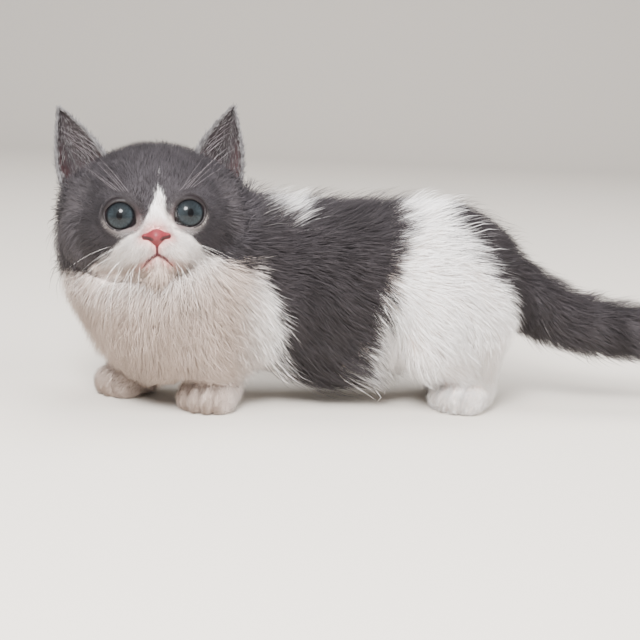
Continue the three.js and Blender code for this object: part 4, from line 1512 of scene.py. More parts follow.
@dataclass
class Coat:
    """The fur of the whole body except the ears."""

    body: Body
    marks: Markings
    skin: Shape
    hull: Sampled
    thin: float = 1.0
    seed: int = 7
    densities: tuple[float, ...] = (4.0, 3.0, 3.0, 3.8, 6.0)
    spiky_share: float = 0.4
    spiky_depth: float = 5.0
    long_depth: float = 14.5
    spine: tuple[float, float] = (17, 0.12)
    middle: tuple[float, float] = (13, 55)
    face_from: float = 10
    chest_to: float = -42
    shoulder_to: float = -18
    flank_to: float = 22

    def zones(self, p: Array) -> Array:
        """The zone of each root, as a number in the order of Zone.

        Args:
            p: points in the pose frame.

        Returns:
            A number for each root.
        """
        share = self.body.shares(p)
        part = np.argmax(share, axis=1)
        q = self.body.into_head(p)
        number = {zone: i for i, zone in enumerate(Zone)}
        x = p[:, 0]
        left = p[:, 1] < self.spine[0] + self.spine[1] * x
        head = np.where(q[:, 0] + 0.4 * q[:, 2] > self.face_from, number[Zone.FACE], number[Zone.CROWN])
        fore = np.where(x < self.chest_to, number[Zone.CHEST], number[Zone.SHOULDER])
        flank = np.where(left, number[Zone.FLANK_LEFT], number[Zone.FLANK_RIGHT])
        rear = np.where(left, number[Zone.HAUNCH_LEFT], number[Zone.HAUNCH_RIGHT])
        trunk = np.where(x < self.shoulder_to, fore, np.where(x < self.flank_to, flank, rear))
        rest = [np.full(len(p), number[zone]) for zone in (Zone.TAIL, Zone.LEGS, Zone.PAWS)]
        return np.choose(part, [head, trunk, *rest])

    def unwrapped(self, zone: Zone, p: Array) -> Array:
        """Each root's place on the unwrapped skin of its zone, from 0 to 1 both ways.

        Args:
            zone: the piece of the coat.
            p: the roots.

        Returns:
            A place for each root.
        """
        if zone in (Zone.FACE, Zone.CROWN):
            q = self.body.into_head(p)
            flip = 1 if zone is Zone.FACE else -1
            flat = np.stack([np.arctan2(q[:, 1], flip * q[:, 0]), q[:, 2] + 0.3 * abs(q[:, 0])], -1)
        elif zone is Zone.TAIL:
            place, _ = self.body.on_tail(p)
            path = np.array(self.body.tail_path, float)
            off = p - np.stack([np.interp(place, range(len(path)), axis) for axis in path.T], -1)
            flat = np.stack([place, np.arctan2(off[:, 1], off[:, 2])], -1)
        elif zone in (Zone.LEGS, Zone.PAWS):
            feet = np.array([leg.paw for leg in self.body.each_leg])
            leg = np.argmin(np.linalg.norm(p[:, None, :2] - feet[None], axis=-1), axis=1)
            off = p[:, :2] - feet[leg]
            turn = np.arctan2(off[:, 1], off[:, 0]) / (2 * math.pi) + 0.5
            out = np.linalg.norm(off, axis=-1)
            flat = np.stack([leg + 0.96 * turn, p[:, 2] - 0.5 * out * (p[:, 2] < 9)], -1)
        else:
            across, up = self.middle
            turn = np.arctan2(p[:, 1] - across - self.spine[1] * p[:, 0], p[:, 2] - up)
            flat = np.stack([p[:, 0], np.clip(turn, -3.1, 3.1)], -1)
        low, high = flat.min(0), flat.max(0)
        return (flat - low) / np.maximum(high - low, 1e-6)

    def roots(self) -> Roots:
        """Draws the roots over the skin and works out what grows from each.

        Returns:
            The roots of every zone.
        """
        rng = np.random.default_rng(self.seed)
        body = self.body
        middles = self.skin.points[self.skin.faces].mean(1)
        share = body.shares(middles)
        density = share @ np.array(self.densities)
        short = share[:, 0] * smooth(4.0, 1.5, body.head_depth(body.into_head(middles)))
        density = density * (1 + 1.1 * short) * self.thin
        points, _ = scattered(self.skin, density, rng)
        value, normals = self.hull(points)
        points = points - normals * value[:, None] * (abs(value) < 1.5)[:, None]

        q = body.into_head(points)
        near, away = body.near_eye(q)
        keep = (near > 0.6) & (points[:, 2] > 1.0)
        keep &= (NoseLeather().field(q) > 0.1) & (body.from_mouth(q) > 0.6)
        points, normals, near, away, q = points[keep], normals[keep], near[keep], away[keep], q[keep]
        over_eye = self.marks.over_eye(near, away)

        count = len(points)
        few = 0.07 * smooth(-58, -40, points[:, 0]) + 0.05 * smooth(-24, -10, q[:, 2])
        stray = np.where(rng.random(count) < few, rng.uniform(1.1, 1.45, count), 1)
        depth = body.depth(points) * stray
        wide, fine = Waves(3, 26), Waves(5, 9)
        ways = body.lie(points, normals)
        loose = 0.15 + 0.13 * smooth(-30, -50, points[:, 0])
        sway = 0.15 * wide(points) + 0.08 * fine(points) + loose[:, None] * rng.normal(size=(count, 3))
        ways = ways + sway * (0.4 + 0.6 * smooth(0.8, 5, depth))[:, None] + 0.08 * rng.normal(size=(count, 3))
        ways = unit(ways - normals * dot(ways, normals)[:, None])
        share = body.shares(points)
        head = share[:, 0]
        low = smooth(44, 28, points[:, 2]) * smooth(-45, -15, points[:, 0])
        length = (1.5 + (1.0 + 0.45 * low) * depth) * rng.uniform(0.7, 1.25, count)
        length = length * (0.5 + 0.5 * smooth(0, 4, near))
        width = (0.082 + 0.0042 * length) * rng.uniform(0.75, 1.25, count)
        grey = self.marks(body, points)
        blur = 1.2 + 0.35 * depth
        grey = smooth(-0.5, 0.5, grey / blur + 0.45 * fine(points)[:, 0] + 0.35 * rng.normal(size=count))
        grey = grey * (1 - self.marks.under_eye(near, away))
        dark = np.clip(1 - head * 1.2 + over_eye + 0.15 * rng.normal(size=count), 0, 1)
        tone = 0.5 + 0.16 * fine(points)[:, 1] + 0.12 * wide(points)[:, 0] + 0.2 * rng.normal(size=count)
        bib = smooth(-30, -50, points[:, 0]) * (1 - head)
        clump = 0.2 * smooth(2, 9, depth) * (1 - 0.6 * bib) + 0.1 + 0.3 * smooth(4, 2, depth) * (1 - head)
        # warm: where the coat takes the painted warm shade.
        warm = self.marks.warm(body, points)
        tone = np.clip(tone, 0, 1)
        pink = self.marks.pink(body, q) * head
        return Roots(points, normals, ways, depth, length, width, grey, tone, dark, warm, pink, clump)

    def build(self, place: Place, finish: Material) -> list[Thing]:
        """Grows the coat, one object for each zone.

        Args:
            place: the step to metres.
            finish: the material.

        Returns:
            The objects, in the order of Zone.
        """
        roots = self.roots()
        zone_of = self.zones(roots.points)
        made = []
        for i, zone in enumerate(Zone):
            mine = roots.taken(zone_of == i)
            flat = self.unwrapped(zone, mine.points)
            rng = np.random.default_rng(100 + i)
            spiky = (mine.depth < self.spiky_depth) | (rng.random(len(mine.depth)) < self.spiky_share)
            long = ~spiky & (mine.depth > self.long_depth)
            shapes = []
            for which, form in ((spiky, SPIKES), (long, LONG_TUFTS), (~spiky & ~long, SHORT_TUFTS)):
                if which.any():
                    shapes.append(grown(mine.taken(which), form, self.hull, flat[which], rng))
            made.append(joined(shapes).made("coat_" + zone.value, place, finish))
        return made


@dataclass
class NoseLeather:
    """The nose leather with its nostrils, in the head's frame."""

    across: float = 4.7
    nostril: tuple[Triple, ...] = (
        (33.8, 2.0, -11.7), (32.7, 3.0, -11.3), (31.7, 4.3, -10.7), (31.1, 5.5, -10.1),
    )
    nostril_radii: tuple[float, ...] = (0.8, 1.05, 0.8, 0.45)

    def field(self, q: Array) -> Array:
        """The leather without its nostrils."""
        wings = [Limb((30.4, 0, -9.8), (29.9, side * self.across, -9.9), 2.3, 1.3) for side in (1, -1)]
        drop = Limb((30.6, 0, -10.3), (29.4, 0, -13.5), 2.8, 1.2)
        return Blend(1.8, [*wings, drop])(q)

    def nostrils(self, q: Array) -> Array:
        """Distance from the nearer nostril's wall, below 0 inside it.

        Args:
            q: points in the head's frame.

        Returns:
            A value for each point.
        """
        best = np.full(q.shape[:-1], 1e3)
        for side in (1, -1):
            line = [(x, side * y, z) for x, y, z in self.nostril]
            for i in range(len(line) - 1):
                hole = Limb(line[i], line[i + 1], self.nostril_radii[i], self.nostril_radii[i + 1])
                best = np.minimum(best, hole(q))
        return best

    def whole(self, q: Array) -> Array:
        """The leather with its nostrils and the groove under them."""
        d = np.maximum(self.field(q), -self.nostrils(q))
        return np.maximum(d, -Limb((33.6, 0, -11.4), (31.2, 0, -14.8), 0.16, 0.3)(q))

    def build(self, body: Body, place: Place, finish: Material) -> Thing:
        """Makes the leather's object.

        Args:
            body: the kitten's flesh.
            place: the step to metres.
            finish: the material.

        Returns:
            The object.
        """
        lines = [np.arange(25, 36.5, 0.32), np.arange(-8, 8.2, 0.32), np.arange(-19, -4, 0.32)]
        shape = settled(self.whole, surface_net(self.whole, lines), 1)
        # deep: where the painted shade in the nostrils goes.
        deep = smooth(0.45, -0.1, self.nostrils(shape.points))
        shape = Shape(body.from_head(shape.points), shape.faces[:, ::-1], {"deep": deep})
        return shape.made("nose_leather", place, finish)


@dataclass
class Lips:
    """The dark pink edges of the mouth and the groove above it."""

    body: Body
    thick: float = 0.55
    end: float = 0.1
    groove: float = 0.42
    proud: float = 0.2
    knots: int = 24

    def build(self, place: Place, finish: Material) -> Thing:
        """Makes the lips as thin tubes along the mouth.

        Args:
            place: the step to metres.
            finish: the material.

        Returns:
            The object.
        """
        tubes = []
        for line in self.body.mouth_lines():
            place_on = np.linspace(0, len(line) - 1, self.knots)
            path = np.stack([np.interp(place_on, range(len(line)), axis) for axis in line.T], -1)
            path = path - gradient(self.body.skull, path) * (self.body.skull(path) - self.proud)[:, None]
            radii = self.thick * np.minimum(1, np.linspace(1.6, 0.0, self.knots)) + self.end
            radii = radii if len(line) > 2 else np.full(self.knots, self.groove)
            tubes.append(sweep(self.body.from_head(path), radii))
        return joined(tubes).made("lips", place, finish)


@dataclass
class EyeBall:
    """One eye with its lid's rim."""

    body: Body
    side: int
    name: str
    pupil: tuple[float, float] = (1.3, 1.8)
    rings: int = 60
    columns: int = 72
    rim_columns: int = 128
    rim: tuple[tuple[float, float], ...] = (
        (-0.3, 0.25), (0.12, -0.1), (0.55, -0.05), (0.95, 0.25), (1.05, 0.62), (0.9, 1.0), (0.3, 1.15),
    )

    def from_polar(self, r: Array, arc: Array, turn: Array) -> Array:
        """Points round the eye, in the pose frame.

        Args:
            r: distances from the eye's middle.
            arc: arcs in mm from the look axis.
            turn: angles round the look axis.

        Returns:
            An array of points.
        """
        eyes = self.body.eyes
        angle = arc / eyes.radius
        local = np.stack([np.cos(angle), np.sin(angle) * np.cos(turn), np.sin(angle) * np.sin(turn)], -1)
        q = eyes.middle(self.side) + (local * np.asarray(r)[..., None]) @ eyes.frame_of(self.side)
        return self.body.from_head(q)

    def grid_faces(self, rows: int, columns: int, closed: bool) -> Array:
        """Faces of a grid of points that closes round its columns, and round its rows too if closed.

        Args:
            rows: rings of points.
            columns: points of a ring.
            closed: whether the last ring meets the first.

        Returns:
            Four corners for each face.
        """
        faces = []
        for i in range(rows if closed else rows - 1):
            for j in range(columns):
                a, b = i * columns + j, i * columns + (j + 1) % columns
                c, d = (i + 1) % rows * columns + (j + 1) % columns, (i + 1) % rows * columns + j
                faces.append((a, b, c, d) if self.side > 0 else (d, c, b, a))
        return np.array(faces)

    def build(self, place: Place, finish: Material) -> Thing:
        """Makes the eyeball, with rings of points round the way it looks.

        Args:
            place: the step to metres.
            finish: the material.

        Returns:
            The object.
        """
        eyes = self.body.eyes
        rings, columns = self.rings, self.columns
        arcs = np.linspace(0.05, math.pi * eyes.radius - 0.05, rings)
        turn = np.arange(columns) * 2 * math.pi / columns
        arc, around = np.meshgrid(arcs, turn, indexing="ij")
        points = self.from_polar(np.full(arc.shape, eyes.radius), arc, around).reshape(-1, 3)
        faces = self.grid_faces(rings, columns, False)
        front = self.from_polar(np.array([eyes.radius]), np.array([0.0]), np.array([0.0]))
        back = self.from_polar(np.array([eyes.radius]), np.array([math.pi * eyes.radius]), np.array([0.0]))
        points = np.concatenate([points, front, back])
        caps = []
        last = (rings - 1) * columns
        for j in range(columns):
            k = (j + 1) % columns
            first = (len(points) - 2, k, j)
            end = (len(points) - 1, last + j, last + k)
            caps += [first, end] if self.side > 0 else [first[::-1], end[::-1]]
        split = triangles(Shape(points, faces))
        arc = np.append(arc.ravel(), [0, math.pi * eyes.radius])
        around = np.append(around.ravel(), [0, 0])
        pupil = arc * np.hypot(np.cos(around) / self.pupil[0], np.sin(around) / self.pupil[1])
        values = {"arc": arc, "turn_x": np.cos(around), "turn_y": np.sin(around), "pupil": pupil}
        whole = Shape(points, np.concatenate([split.faces, np.array(caps)]), values)
        return whole.made("eyeball_" + self.name, place, finish)

    def build_lid(self, place: Place, finish: Material) -> Thing:
        """Makes the dark rim of the lids, widest above the eye and at its inner corner.

        Args:
            place: the step to metres.
            finish: the material.

        Returns:
            The object.
        """
        eyes = self.body.eyes
        columns = self.rim_columns
        turn = np.arange(columns) * 2 * math.pi / columns
        edge = eyes.opening(turn)
        upper = smooth(-0.25, 0.8, np.sin(turn))
        inner = hump(turn, -156, 0.42)
        wide = 0.55 + 2.0 * upper + 1.3 * inner
        rise = 0.1 + 0.3 * upper
        rows = []
        for high, out in self.rim:
            r = eyes.radius + high * (0.75 + rise)
            rows.append(self.from_polar(r, edge + out * wide, turn))
        faces = self.grid_faces(len(self.rim), columns, True)
        return Shape(np.concatenate(rows), faces[:, ::-1]).made("lid_" + self.name, place, finish)


class EarPlace(Enum):
    """Where an ear's fur grows, as the layer that point reads."""

    CUP = 0.0
    RIM = 0.5
    BACK = 1.0


@dataclass(frozen=True)
class EarFur:
    """One sort of an ear's fur: where it grows, how many tufts, and their sizes in mm."""

    place: EarPlace
    count: int
    length: float
    depth: float
    width: float


@dataclass
class Ear:
    """One ear: a cup with fur outside and long pale hairs across its opening."""

    body: Body
    side: int
    name: str
    thin: float = 1.0
    tips: tuple[Triple, Triple] = ((-9, 37.3, 46.3), (-9, 38.6, 48.2))
    inner: Triple = (1, 19, 22)
    outer: Triple = (-7, 36, 8)
    back: Triple = (-17, 30, 14)
    bulge: float = 2.8
    thick: float = 1.1
    round: float = 0.85
    across: int = 40
    up: int = 34
    darkness: float = 0.7
    sorts: tuple[EarFur, ...] = (
        EarFur(EarPlace.BACK, 2200, 2.8, 0.9, 0.15),
        EarFur(EarPlace.CUP, 500, 3.2, 0.5, 0.08),
        EarFur(EarPlace.RIM, 1700, 3.2, 1.0, 0.12),
    )

    def point(self, u: Array, v: Array, out: Array) -> Array:
        """Points of the ear's sheet in the head's frame.

        Args:
            u: from the inner edge at -1 to the outer at 1.
            v: from the root at 0 to the tip at 1.
            out: 0 in the cup and 1 at its back.

        Returns:
            An array of points.
        """
        inner, outer, back = (np.array(p, float) for p in (self.inner, self.outer, self.back))
        tip = np.array(self.tips[0] if self.side > 0 else self.tips[1])
        middle = (inner + outer) / 2
        heart = (middle + back) / 2
        share = ((u + 1) / 2)[..., None]
        base = inner + (outer - inner) * share + (back - middle) * (1 - u * u)[..., None]
        swell = self.bulge * np.sin(math.pi * np.minimum(1, v * 1.05)) * u * (1 - 0.4 * v)
        narrow = np.power(np.maximum(1 - v, 0), self.round)
        p = heart + (tip - heart) * v[..., None] + (base - heart) * narrow[..., None]
        wall = out * self.thick * (1 - 0.55 * v)
        x = p[..., 0] - wall * (0.5 + 0.5 * (1 - u * u))
        y = self.side * (p[..., 1] + swell + wall * u * 0.4)
        return np.stack([x, y, p[..., 2] - swell * 0.3 * u], -1)

    def shell(self) -> Shape:
        """The ear as a closed shell of four-cornered faces, in the head's frame.

        Returns:
            The shell.
        """
        columns, rows = self.across + 1, self.up
        v, u = np.meshgrid(np.arange(rows) / rows, np.linspace(-1, 1, columns), indexing="ij")
        cup = self.point(u, v, np.zeros(u.shape)).reshape(-1, 3)
        outside = self.point(u, v, np.ones(u.shape)).reshape(-1, 3)
        tip = self.point(np.zeros(1), np.ones(1), np.full(1, 0.5))
        half = columns * rows
        faces = []

        def at(layer: int, i: int, j: int) -> int:
            """Number of a point of the cup or the back."""
            return layer * half + j * columns + i

        for j in range(rows - 1):
            for i in range(self.across):
                faces.append((at(0, i, j), at(0, i + 1, j), at(0, i + 1, j + 1), at(0, i, j + 1)))
                faces.append((at(1, i + 1, j), at(1, i, j), at(1, i, j + 1), at(1, i + 1, j + 1)))
            faces.append((at(1, 0, j), at(0, 0, j), at(0, 0, j + 1), at(1, 0, j + 1)))
            rim = columns - 1
            faces.append((at(0, rim, j), at(1, rim, j), at(1, rim, j + 1), at(0, rim, j + 1)))
        last = rows - 1
        for i in range(self.across):
            faces.append((at(0, i + 1, 0), at(0, i, 0), at(1, i, 0), at(1, i + 1, 0)))
            faces.append((at(0, i, last), at(0, i + 1, last), 2 * half, 2 * half))
            faces.append((at(1, i + 1, last), at(1, i, last), 2 * half, 2 * half))
        faces.append((at(1, 0, last), at(0, 0, last), 2 * half, 2 * half))
        faces.append((at(0, self.across, last), at(1, self.across, last), 2 * half, 2 * half))
        faces = np.array(faces)
        faces = faces if self.side > 0 else faces[:, ::-1]
        pink = np.clip(smooth(0.1, 0.9, u) * smooth(0.75, 0.3, v) + smooth(0.35, 0.0, v), 0, 1).ravel()
        values = {"pink": np.concatenate([pink, np.zeros(half + 1)])}
        return Shape(np.concatenate([cup, outside, tip]), faces, values)

    def build(self, place: Place, finish: Material) -> Thing:
        """Makes the ear's shell."""
        shape = self.shell()
        split = triangles(Shape(self.body.from_head(shape.points), shape.faces, shape.values))
        return split.made("ear_shell_" + self.name, place, finish)

    def fur(self, place: Place, finish: Material) -> Thing:
        """Short grey fur on the back and rims, longer at the foot, and thin fur in the cup.

        Args:
            place: the step to metres.
            finish: the material.

        Returns:
            The object.
        """
        rng = np.random.default_rng(40 + self.side)
        shapes = []
        for sort in self.sorts:
            count = int(sort.count * self.thin)
            v = 1 - np.sqrt(rng.random(count))
            u = rng.uniform(-1, 1, count)
            if sort.place is EarPlace.RIM:
                u = np.sign(u) * 1.0
                v = rng.random(count) * 0.97
            step = 0.01
            layer = np.full(count, sort.place.value)
            at = self.point(u, v, layer)
            slope_u = self.point(u + step, v, layer) - at
            slope_v = self.point(u, v + step, layer) - at
            normal = unit(np.cross(slope_v, slope_u)) * self.side * (1 if sort.place is EarPlace.BACK else -1)
            if sort.place is EarPlace.RIM:
                normal = unit(slope_u) * u[:, None]
            way = unit(slope_v) + 0.25 * unit(slope_u) * u[:, None] + 0.2 * rng.normal(size=(count, 3))
            rise = normal * rng.uniform(0.7, 1.3, (count, 1)) * sort.depth
            long = sort.length * (1.5 - 0.7 * v) * rng.uniform(0.7, 1.2, count)
            path = [at - normal * 0.25, at + unit(way) * (0.5 * long)[:, None] + rise * 0.7]
            path.append(at + unit(way) * long[:, None] + rise)
            values = {"tone": np.clip(0.45 + 0.2 * rng.normal(size=count), 0, 1)}
            pale = np.zeros(count) if sort.place is EarPlace.BACK else rng.uniform(0.0, 0.2, count)
            values["grey"] = 1 - pale
            values["dark"] = np.full(count, self.darkness)
            flat = np.clip(np.stack([u, v], -1) * [0.5, 1.0] + [0.5, 0.0], 0, 1)
            along = np.linspace(0, 1, len(path))
            ups = np.repeat(normal[:, None], len(path) - 1, axis=1)
            widths = np.tile(sort.width * (1 - 0.3 * np.arange(len(path) - 1) / len(path)), (count, 1))
            shapes.append(spiked(np.stack(path, 1), ups, widths, 1.0, along, flat, values))
        whole = joined(shapes)
        whole.points = self.body.from_head(whole.points)
        return whole.made("ear_fur_" + self.name, place, finish)


@dataclass(frozen=True)
class Hair:
    """One long hair: its root, its way, the way it bends, and its length in mm."""

    root: Array
    way: Array
    bend: Array
    length: float


@dataclass
class LongHairs:
    """Long single hairs, grown by Geometry Nodes: whiskers, brow hairs and the hairs across the ears."""

    body: Body
    hull: Sampled
    seed: int = 5

    def whiskers(self) -> list[Hair]:
        """Four rows on each side of the muzzle.

        Returns:
            The hairs.
        """
        rng = np.random.default_rng(self.seed)
        hairs = []
        for side in (1, -1):
            for row in range(4):
                for n in range(3 + (row > 0)):
                    root = np.array([24.6 - 2.2 * n, side * (6.4 + 1.9 * n), -12.4 - 2.0 * row])
                    fall = math.radians(4 + 23 * row + 7 * rng.normal())
                    way = np.array([0.2 - 0.1 * n, side * math.cos(fall), -math.sin(fall)])
                    bend = np.array([-0.35, 0.0, -1.0])
                    hairs.append(Hair(root, unit(way), bend, rng.uniform(19, 28) + 2 * n))
        return hairs

    def brows(self) -> list[Hair]:
        """A few hairs over each eye.

        Returns:
            The hairs.
        """
        rng = np.random.default_rng(self.seed + 1)
        hairs = []
        for side in (1, -1):
            for n in range(6):
                root = np.array([24.5 - 0.5 * n, side * (10.5 + 1.2 * n), 8.6 + 0.3 * n])
                way = np.array([0.4, side * (0.5 + 0.1 * n), 0.9]) + 0.1 * rng.normal(size=3)
                hairs.append(Hair(root, unit(way), np.array([-0.6, side * 0.4, 0.1]), rng.uniform(14, 25)))
        return hairs

    def across_ear(self, ear: Ear, count: int = 20) -> list[Hair]:
        """Pale hairs from an ear's inner edge, across its cup.

        Args:
            ear: the ear.
            count: how many hairs.

        Returns:
            The hairs.
        """
        rng = np.random.default_rng(self.seed + 2 + ear.side)
        u = rng.uniform(-1.0, -0.35, count)
        v = rng.uniform(0.02, 0.62, count)
        layer = np.zeros(count)
        at = ear.point(u, v, layer)
        over = unit(ear.point(u + 0.02, v, layer) - at)
        up = unit(ear.point(u, v + 0.02, layer) - at)
        hairs = []
        for i in range(count):
            way = 0.6 * over[i] + rng.uniform(0.7, 1.5) * up[i] + np.array([rng.uniform(0.1, 0.6), 0, 0])
            bend = over[i] - 0.35 * up[i]
            hairs.append(Hair(at[i], unit(way), bend, rng.uniform(11, 22) * (1.1 - 0.7 * v[i])))
        return hairs

    def nodes(self) -> bpy.types.NodeTree:
        """A group that sets a curved, tapered hair on each point.

        Returns:
            The node tree.
        """
        tree = bpy.data.node_groups.new("long_hair", "GeometryNodeTree")
        tree.interface.new_socket("Geometry", in_out="INPUT", socket_type="NodeSocketGeometry")
        for name, kind in (("Width", "Float"), ("Bend", "Float"), ("Material", "Material")):
            tree.interface.new_socket(name, in_out="INPUT", socket_type="NodeSocket" + kind)
        tree.interface.new_socket("Geometry", in_out="OUTPUT", socket_type="NodeSocketGeometry")
        graph = Graph(tree)
        given = graph.node("NodeGroupInput")
        points, width, bend, material = (Wire(graph, given.outputs[i]) for i in range(4))
        line = graph.wire("GeometryNodeCurvePrimitiveLine", {"End": (0, 0, 1)})
        fine = graph.wire("GeometryNodeResampleCurve", {"Curve": line, "Count": 9})
        along = graph.wire("GeometryNodeSplineParameter")
        shift = graph.wire("ShaderNodeCombineXYZ", {"X": along * along * bend})
        bent = graph.wire("GeometryNodeSetPosition", {"Geometry": fine, "Offset": shift})
        thin = graph.wire("GeometryNodeSetCurveRadius", {"Curve": bent, "Radius": 1.02 - along})
        ring = graph.wire("GeometryNodeCurvePrimitiveCircle", {"Resolution": 5, "Radius": width})
        inputs = {"Curve": thin, "Profile Curve": ring, "Fill Caps": True, "Scale": 1.02 - along}
        tube = graph.node("GeometryNodeCurveToMesh")
        for key, value in inputs.items():
            if key in tube.inputs:
                graph.plug(tube.inputs[key], value)
        hair = Wire(graph, tube.outputs[0])
        way = self.named(graph, "way", "FLOAT_VECTOR")
        lean = self.named(graph, "bend", "FLOAT_VECTOR")
        first = graph.wire("FunctionNodeAlignRotationToVector", {"Vector": way}, axis="Z")
        inputs = {"Rotation": first, "Vector": lean}
        turned = graph.wire("FunctionNodeAlignRotationToVector", inputs, axis="X", pivot_axis="Z")
        inputs = {"Points": points, "Instance": hair, "Rotation": turned}
        inputs["Scale"] = self.named(graph, "long", "FLOAT")
        placed = graph.wire("GeometryNodeInstanceOnPoints", inputs)
        real = graph.wire("GeometryNodeRealizeInstances", {"Geometry": placed})
        smooth_one = graph.wire("GeometryNodeSetShadeSmooth", {"Geometry": real})
        painted = graph.wire("GeometryNodeSetMaterial", {"Geometry": smooth_one, "Material": material})
        graph.node("NodeGroupOutput", {0: painted})
        return tree

    def named(self, graph: Graph, name: str, kind: str) -> Wire:
        """A named attribute of the points."""
        return graph.wire("GeometryNodeInputNamedAttribute", {"Name": name}, data_type=kind)

    def build(
        self, name: str, hairs: Sequence[Hair], width: float, bend: float, place: Place,
        finish: Material,
    ) -> Thing:
        """Grows hairs.

        Args:
            name: of the object.
            hairs: in the head's frame.
            width: radius at the root for each unit of length.
            bend: how far a tip bends, for each unit of length.
            place: the step to metres.
            finish: the material.

        Returns:
            One object with all the hairs.
        """
        roots = self.body.from_head(np.array([hair.root for hair in hairs]))
        value, normal = self.hull(roots)
        near = abs(value) < 4
        roots = roots - normal * (value + 0.3)[:, None] * near[:, None]
        mesh = bpy.data.meshes.new(name + "_roots")
        mesh.from_pydata(place(roots).tolist(), [], [])
        for key in ("way", "bend"):
            vectors = np.array([getattr(hair, key) for hair in hairs]) @ self.body.head_axes
            mesh.attributes.new(key, "FLOAT_VECTOR", "POINT").data.foreach_set("vector", vectors.ravel())
        lengths = np.array([hair.length for hair in hairs]) * MM
        mesh.attributes.new("long", "FLOAT", "POINT").data.foreach_set("value", lengths)
        thing = linked(name + "_roots", mesh)
        tree = self.nodes()
        modifier = thing.modifiers.new("hairs", "NODES")
        modifier.node_group = tree
        sockets = {item.name: item.identifier for item in tree.interface.items_tree if item.in_out == "INPUT"}
        for key, value in (("Width", width), ("Bend", bend), ("Material", finish)):
            modifier[sockets[key]] = value
        bpy.context.view_layer.update()
        seen = thing.evaluated_get(bpy.context.evaluated_depsgraph_get())
        made = bpy.data.meshes.new_from_object(seen)
        thing.modifiers.clear()
        bpy.data.objects.remove(thing)
        made.name = name
        LOG.info("%s: %d hairs, %d faces", name, len(hairs), len(made.polygons))
        return linked(name, made)


@dataclass(frozen=True)
class Lamp:
    """A round, soft light: its place and size in metres, its power in watts, and how warm it is."""

    name: str
    at: Triple
    size: float
    power: float
    warm: float = 0.0


@dataclass(frozen=True)
class Studio:
    """Pale floor that sweeps up behind, soft lights and the camera of the photograph."""

    floor: Colour = srgb(200, 193, 184)
    focal: float = 74.8
    camera_at: Triple = (0.0, -580.0, 152.0)
    pitch: float = 10.8
    roll: float = 2.4
    lamps: tuple[Lamp, ...] = (
        Lamp("key", (-0.5, -1.1, 1.35), 1.1, 50, 0.3),
        Lamp("fill", (1.25, -0.8, 0.9), 1.2, 52),
        Lamp("top", (0.25, 0.3, 1.5), 1.2, 27),
    )
    catch_at: Triple = (-115.0, -680.0, 590.0)
    lit: Triple = (0.0, 10.0, 50.0)
    sky: Colour = (0.93, 0.95, 1.0, 1.0)
    sky_strength: float = 0.8

    def sweep(self) -> Thing:
        """Makes the floor.

        Returns:
            The object.
        """
        turn = np.linspace(0, math.pi / 2, 24)
        y = np.concatenate([[-4.0], 1.6 + 0.9 * np.sin(turn), [2.5]])
        z = np.concatenate([[0.0], 0.9 - 0.9 * np.cos(turn), [4.0]])
        points = np.concatenate([np.stack([np.full(len(y), x), y, z], -1) for x in (-4.0, 4.0)])
        count = len(y)
        faces = [(i, i + count, i + count + 1, i + 1) for i in range(count - 1)]
        finish = Finish("floor_pale", self.floor, roughness=0.85, specular=0.2)
        place = Place(np.zeros(3))
        return Shape(points / MM, np.array(faces), {}).made("floor", place, finish.material())

    def light(self, lamp: Lamp, to: Array, mirrored: bool) -> None:
        """Adds a light that shines to a point; only a mirrored one shows in the eyes.

        Args:
            lamp: the light.
            to: the point, in metres.
            mirrored: whether shiny pieces mirror it.
        """
        data = bpy.data.lights.new(lamp.name, "AREA")
        data.shape = "DISK"
        data.size = lamp.size
        data.energy = lamp.power
        data.color = (1.0, 1.0 - 0.06 * lamp.warm, 1.0 - 0.14 * lamp.warm)
        thing = linked(lamp.name, data)
        thing.location = lamp.at
        thing.rotation_euler = (Vector(to) - Vector(lamp.at)).to_track_quat("-Z", "Y").to_euler()
        thing.visible_glossy = mirrored

    def camera(self, place: Place) -> Thing:
        """Adds the camera.

        Args:
            place: the step to metres.

        Returns:
            The object.
        """
        lens = bpy.data.cameras.new("camera")
        lens.sensor_width = 36
        lens.lens = self.focal
        lens.clip_start = 0.01
        thing = linked("camera", lens)
        tilt = Matrix.Rotation(math.radians(90 - self.pitch), 4, "X")
        roll = Matrix.Rotation(math.radians(self.roll), 4, "Z")
        thing.matrix_world = Matrix.Translation(place(np.array(self.camera_at))) @ tilt @ roll
        return thing

    def build(self, place: Place) -> None:
        """Adds the floor, the lights, the sky and the camera.

        Args:
            place: the step to metres.
        """
        self.sweep()
        middle = place(np.array(self.lit))
        for lamp in self.lamps:
            self.light(lamp, middle, False)
        self.light(Lamp("catch", tuple(place(np.array(self.catch_at))), 0.27, 18.0), middle, True)
        world = bpy.data.worlds.new("studio")
        world.use_nodes = True
        graph = Graph(world.node_tree)
        back = world.node_tree.nodes["Background"]
        graph.plug(back.inputs["Color"], self.sky)
        graph.plug(back.inputs["Strength"], self.sky_strength)
        bpy.context.scene.world = world
        bpy.context.scene.camera = self.camera(place)


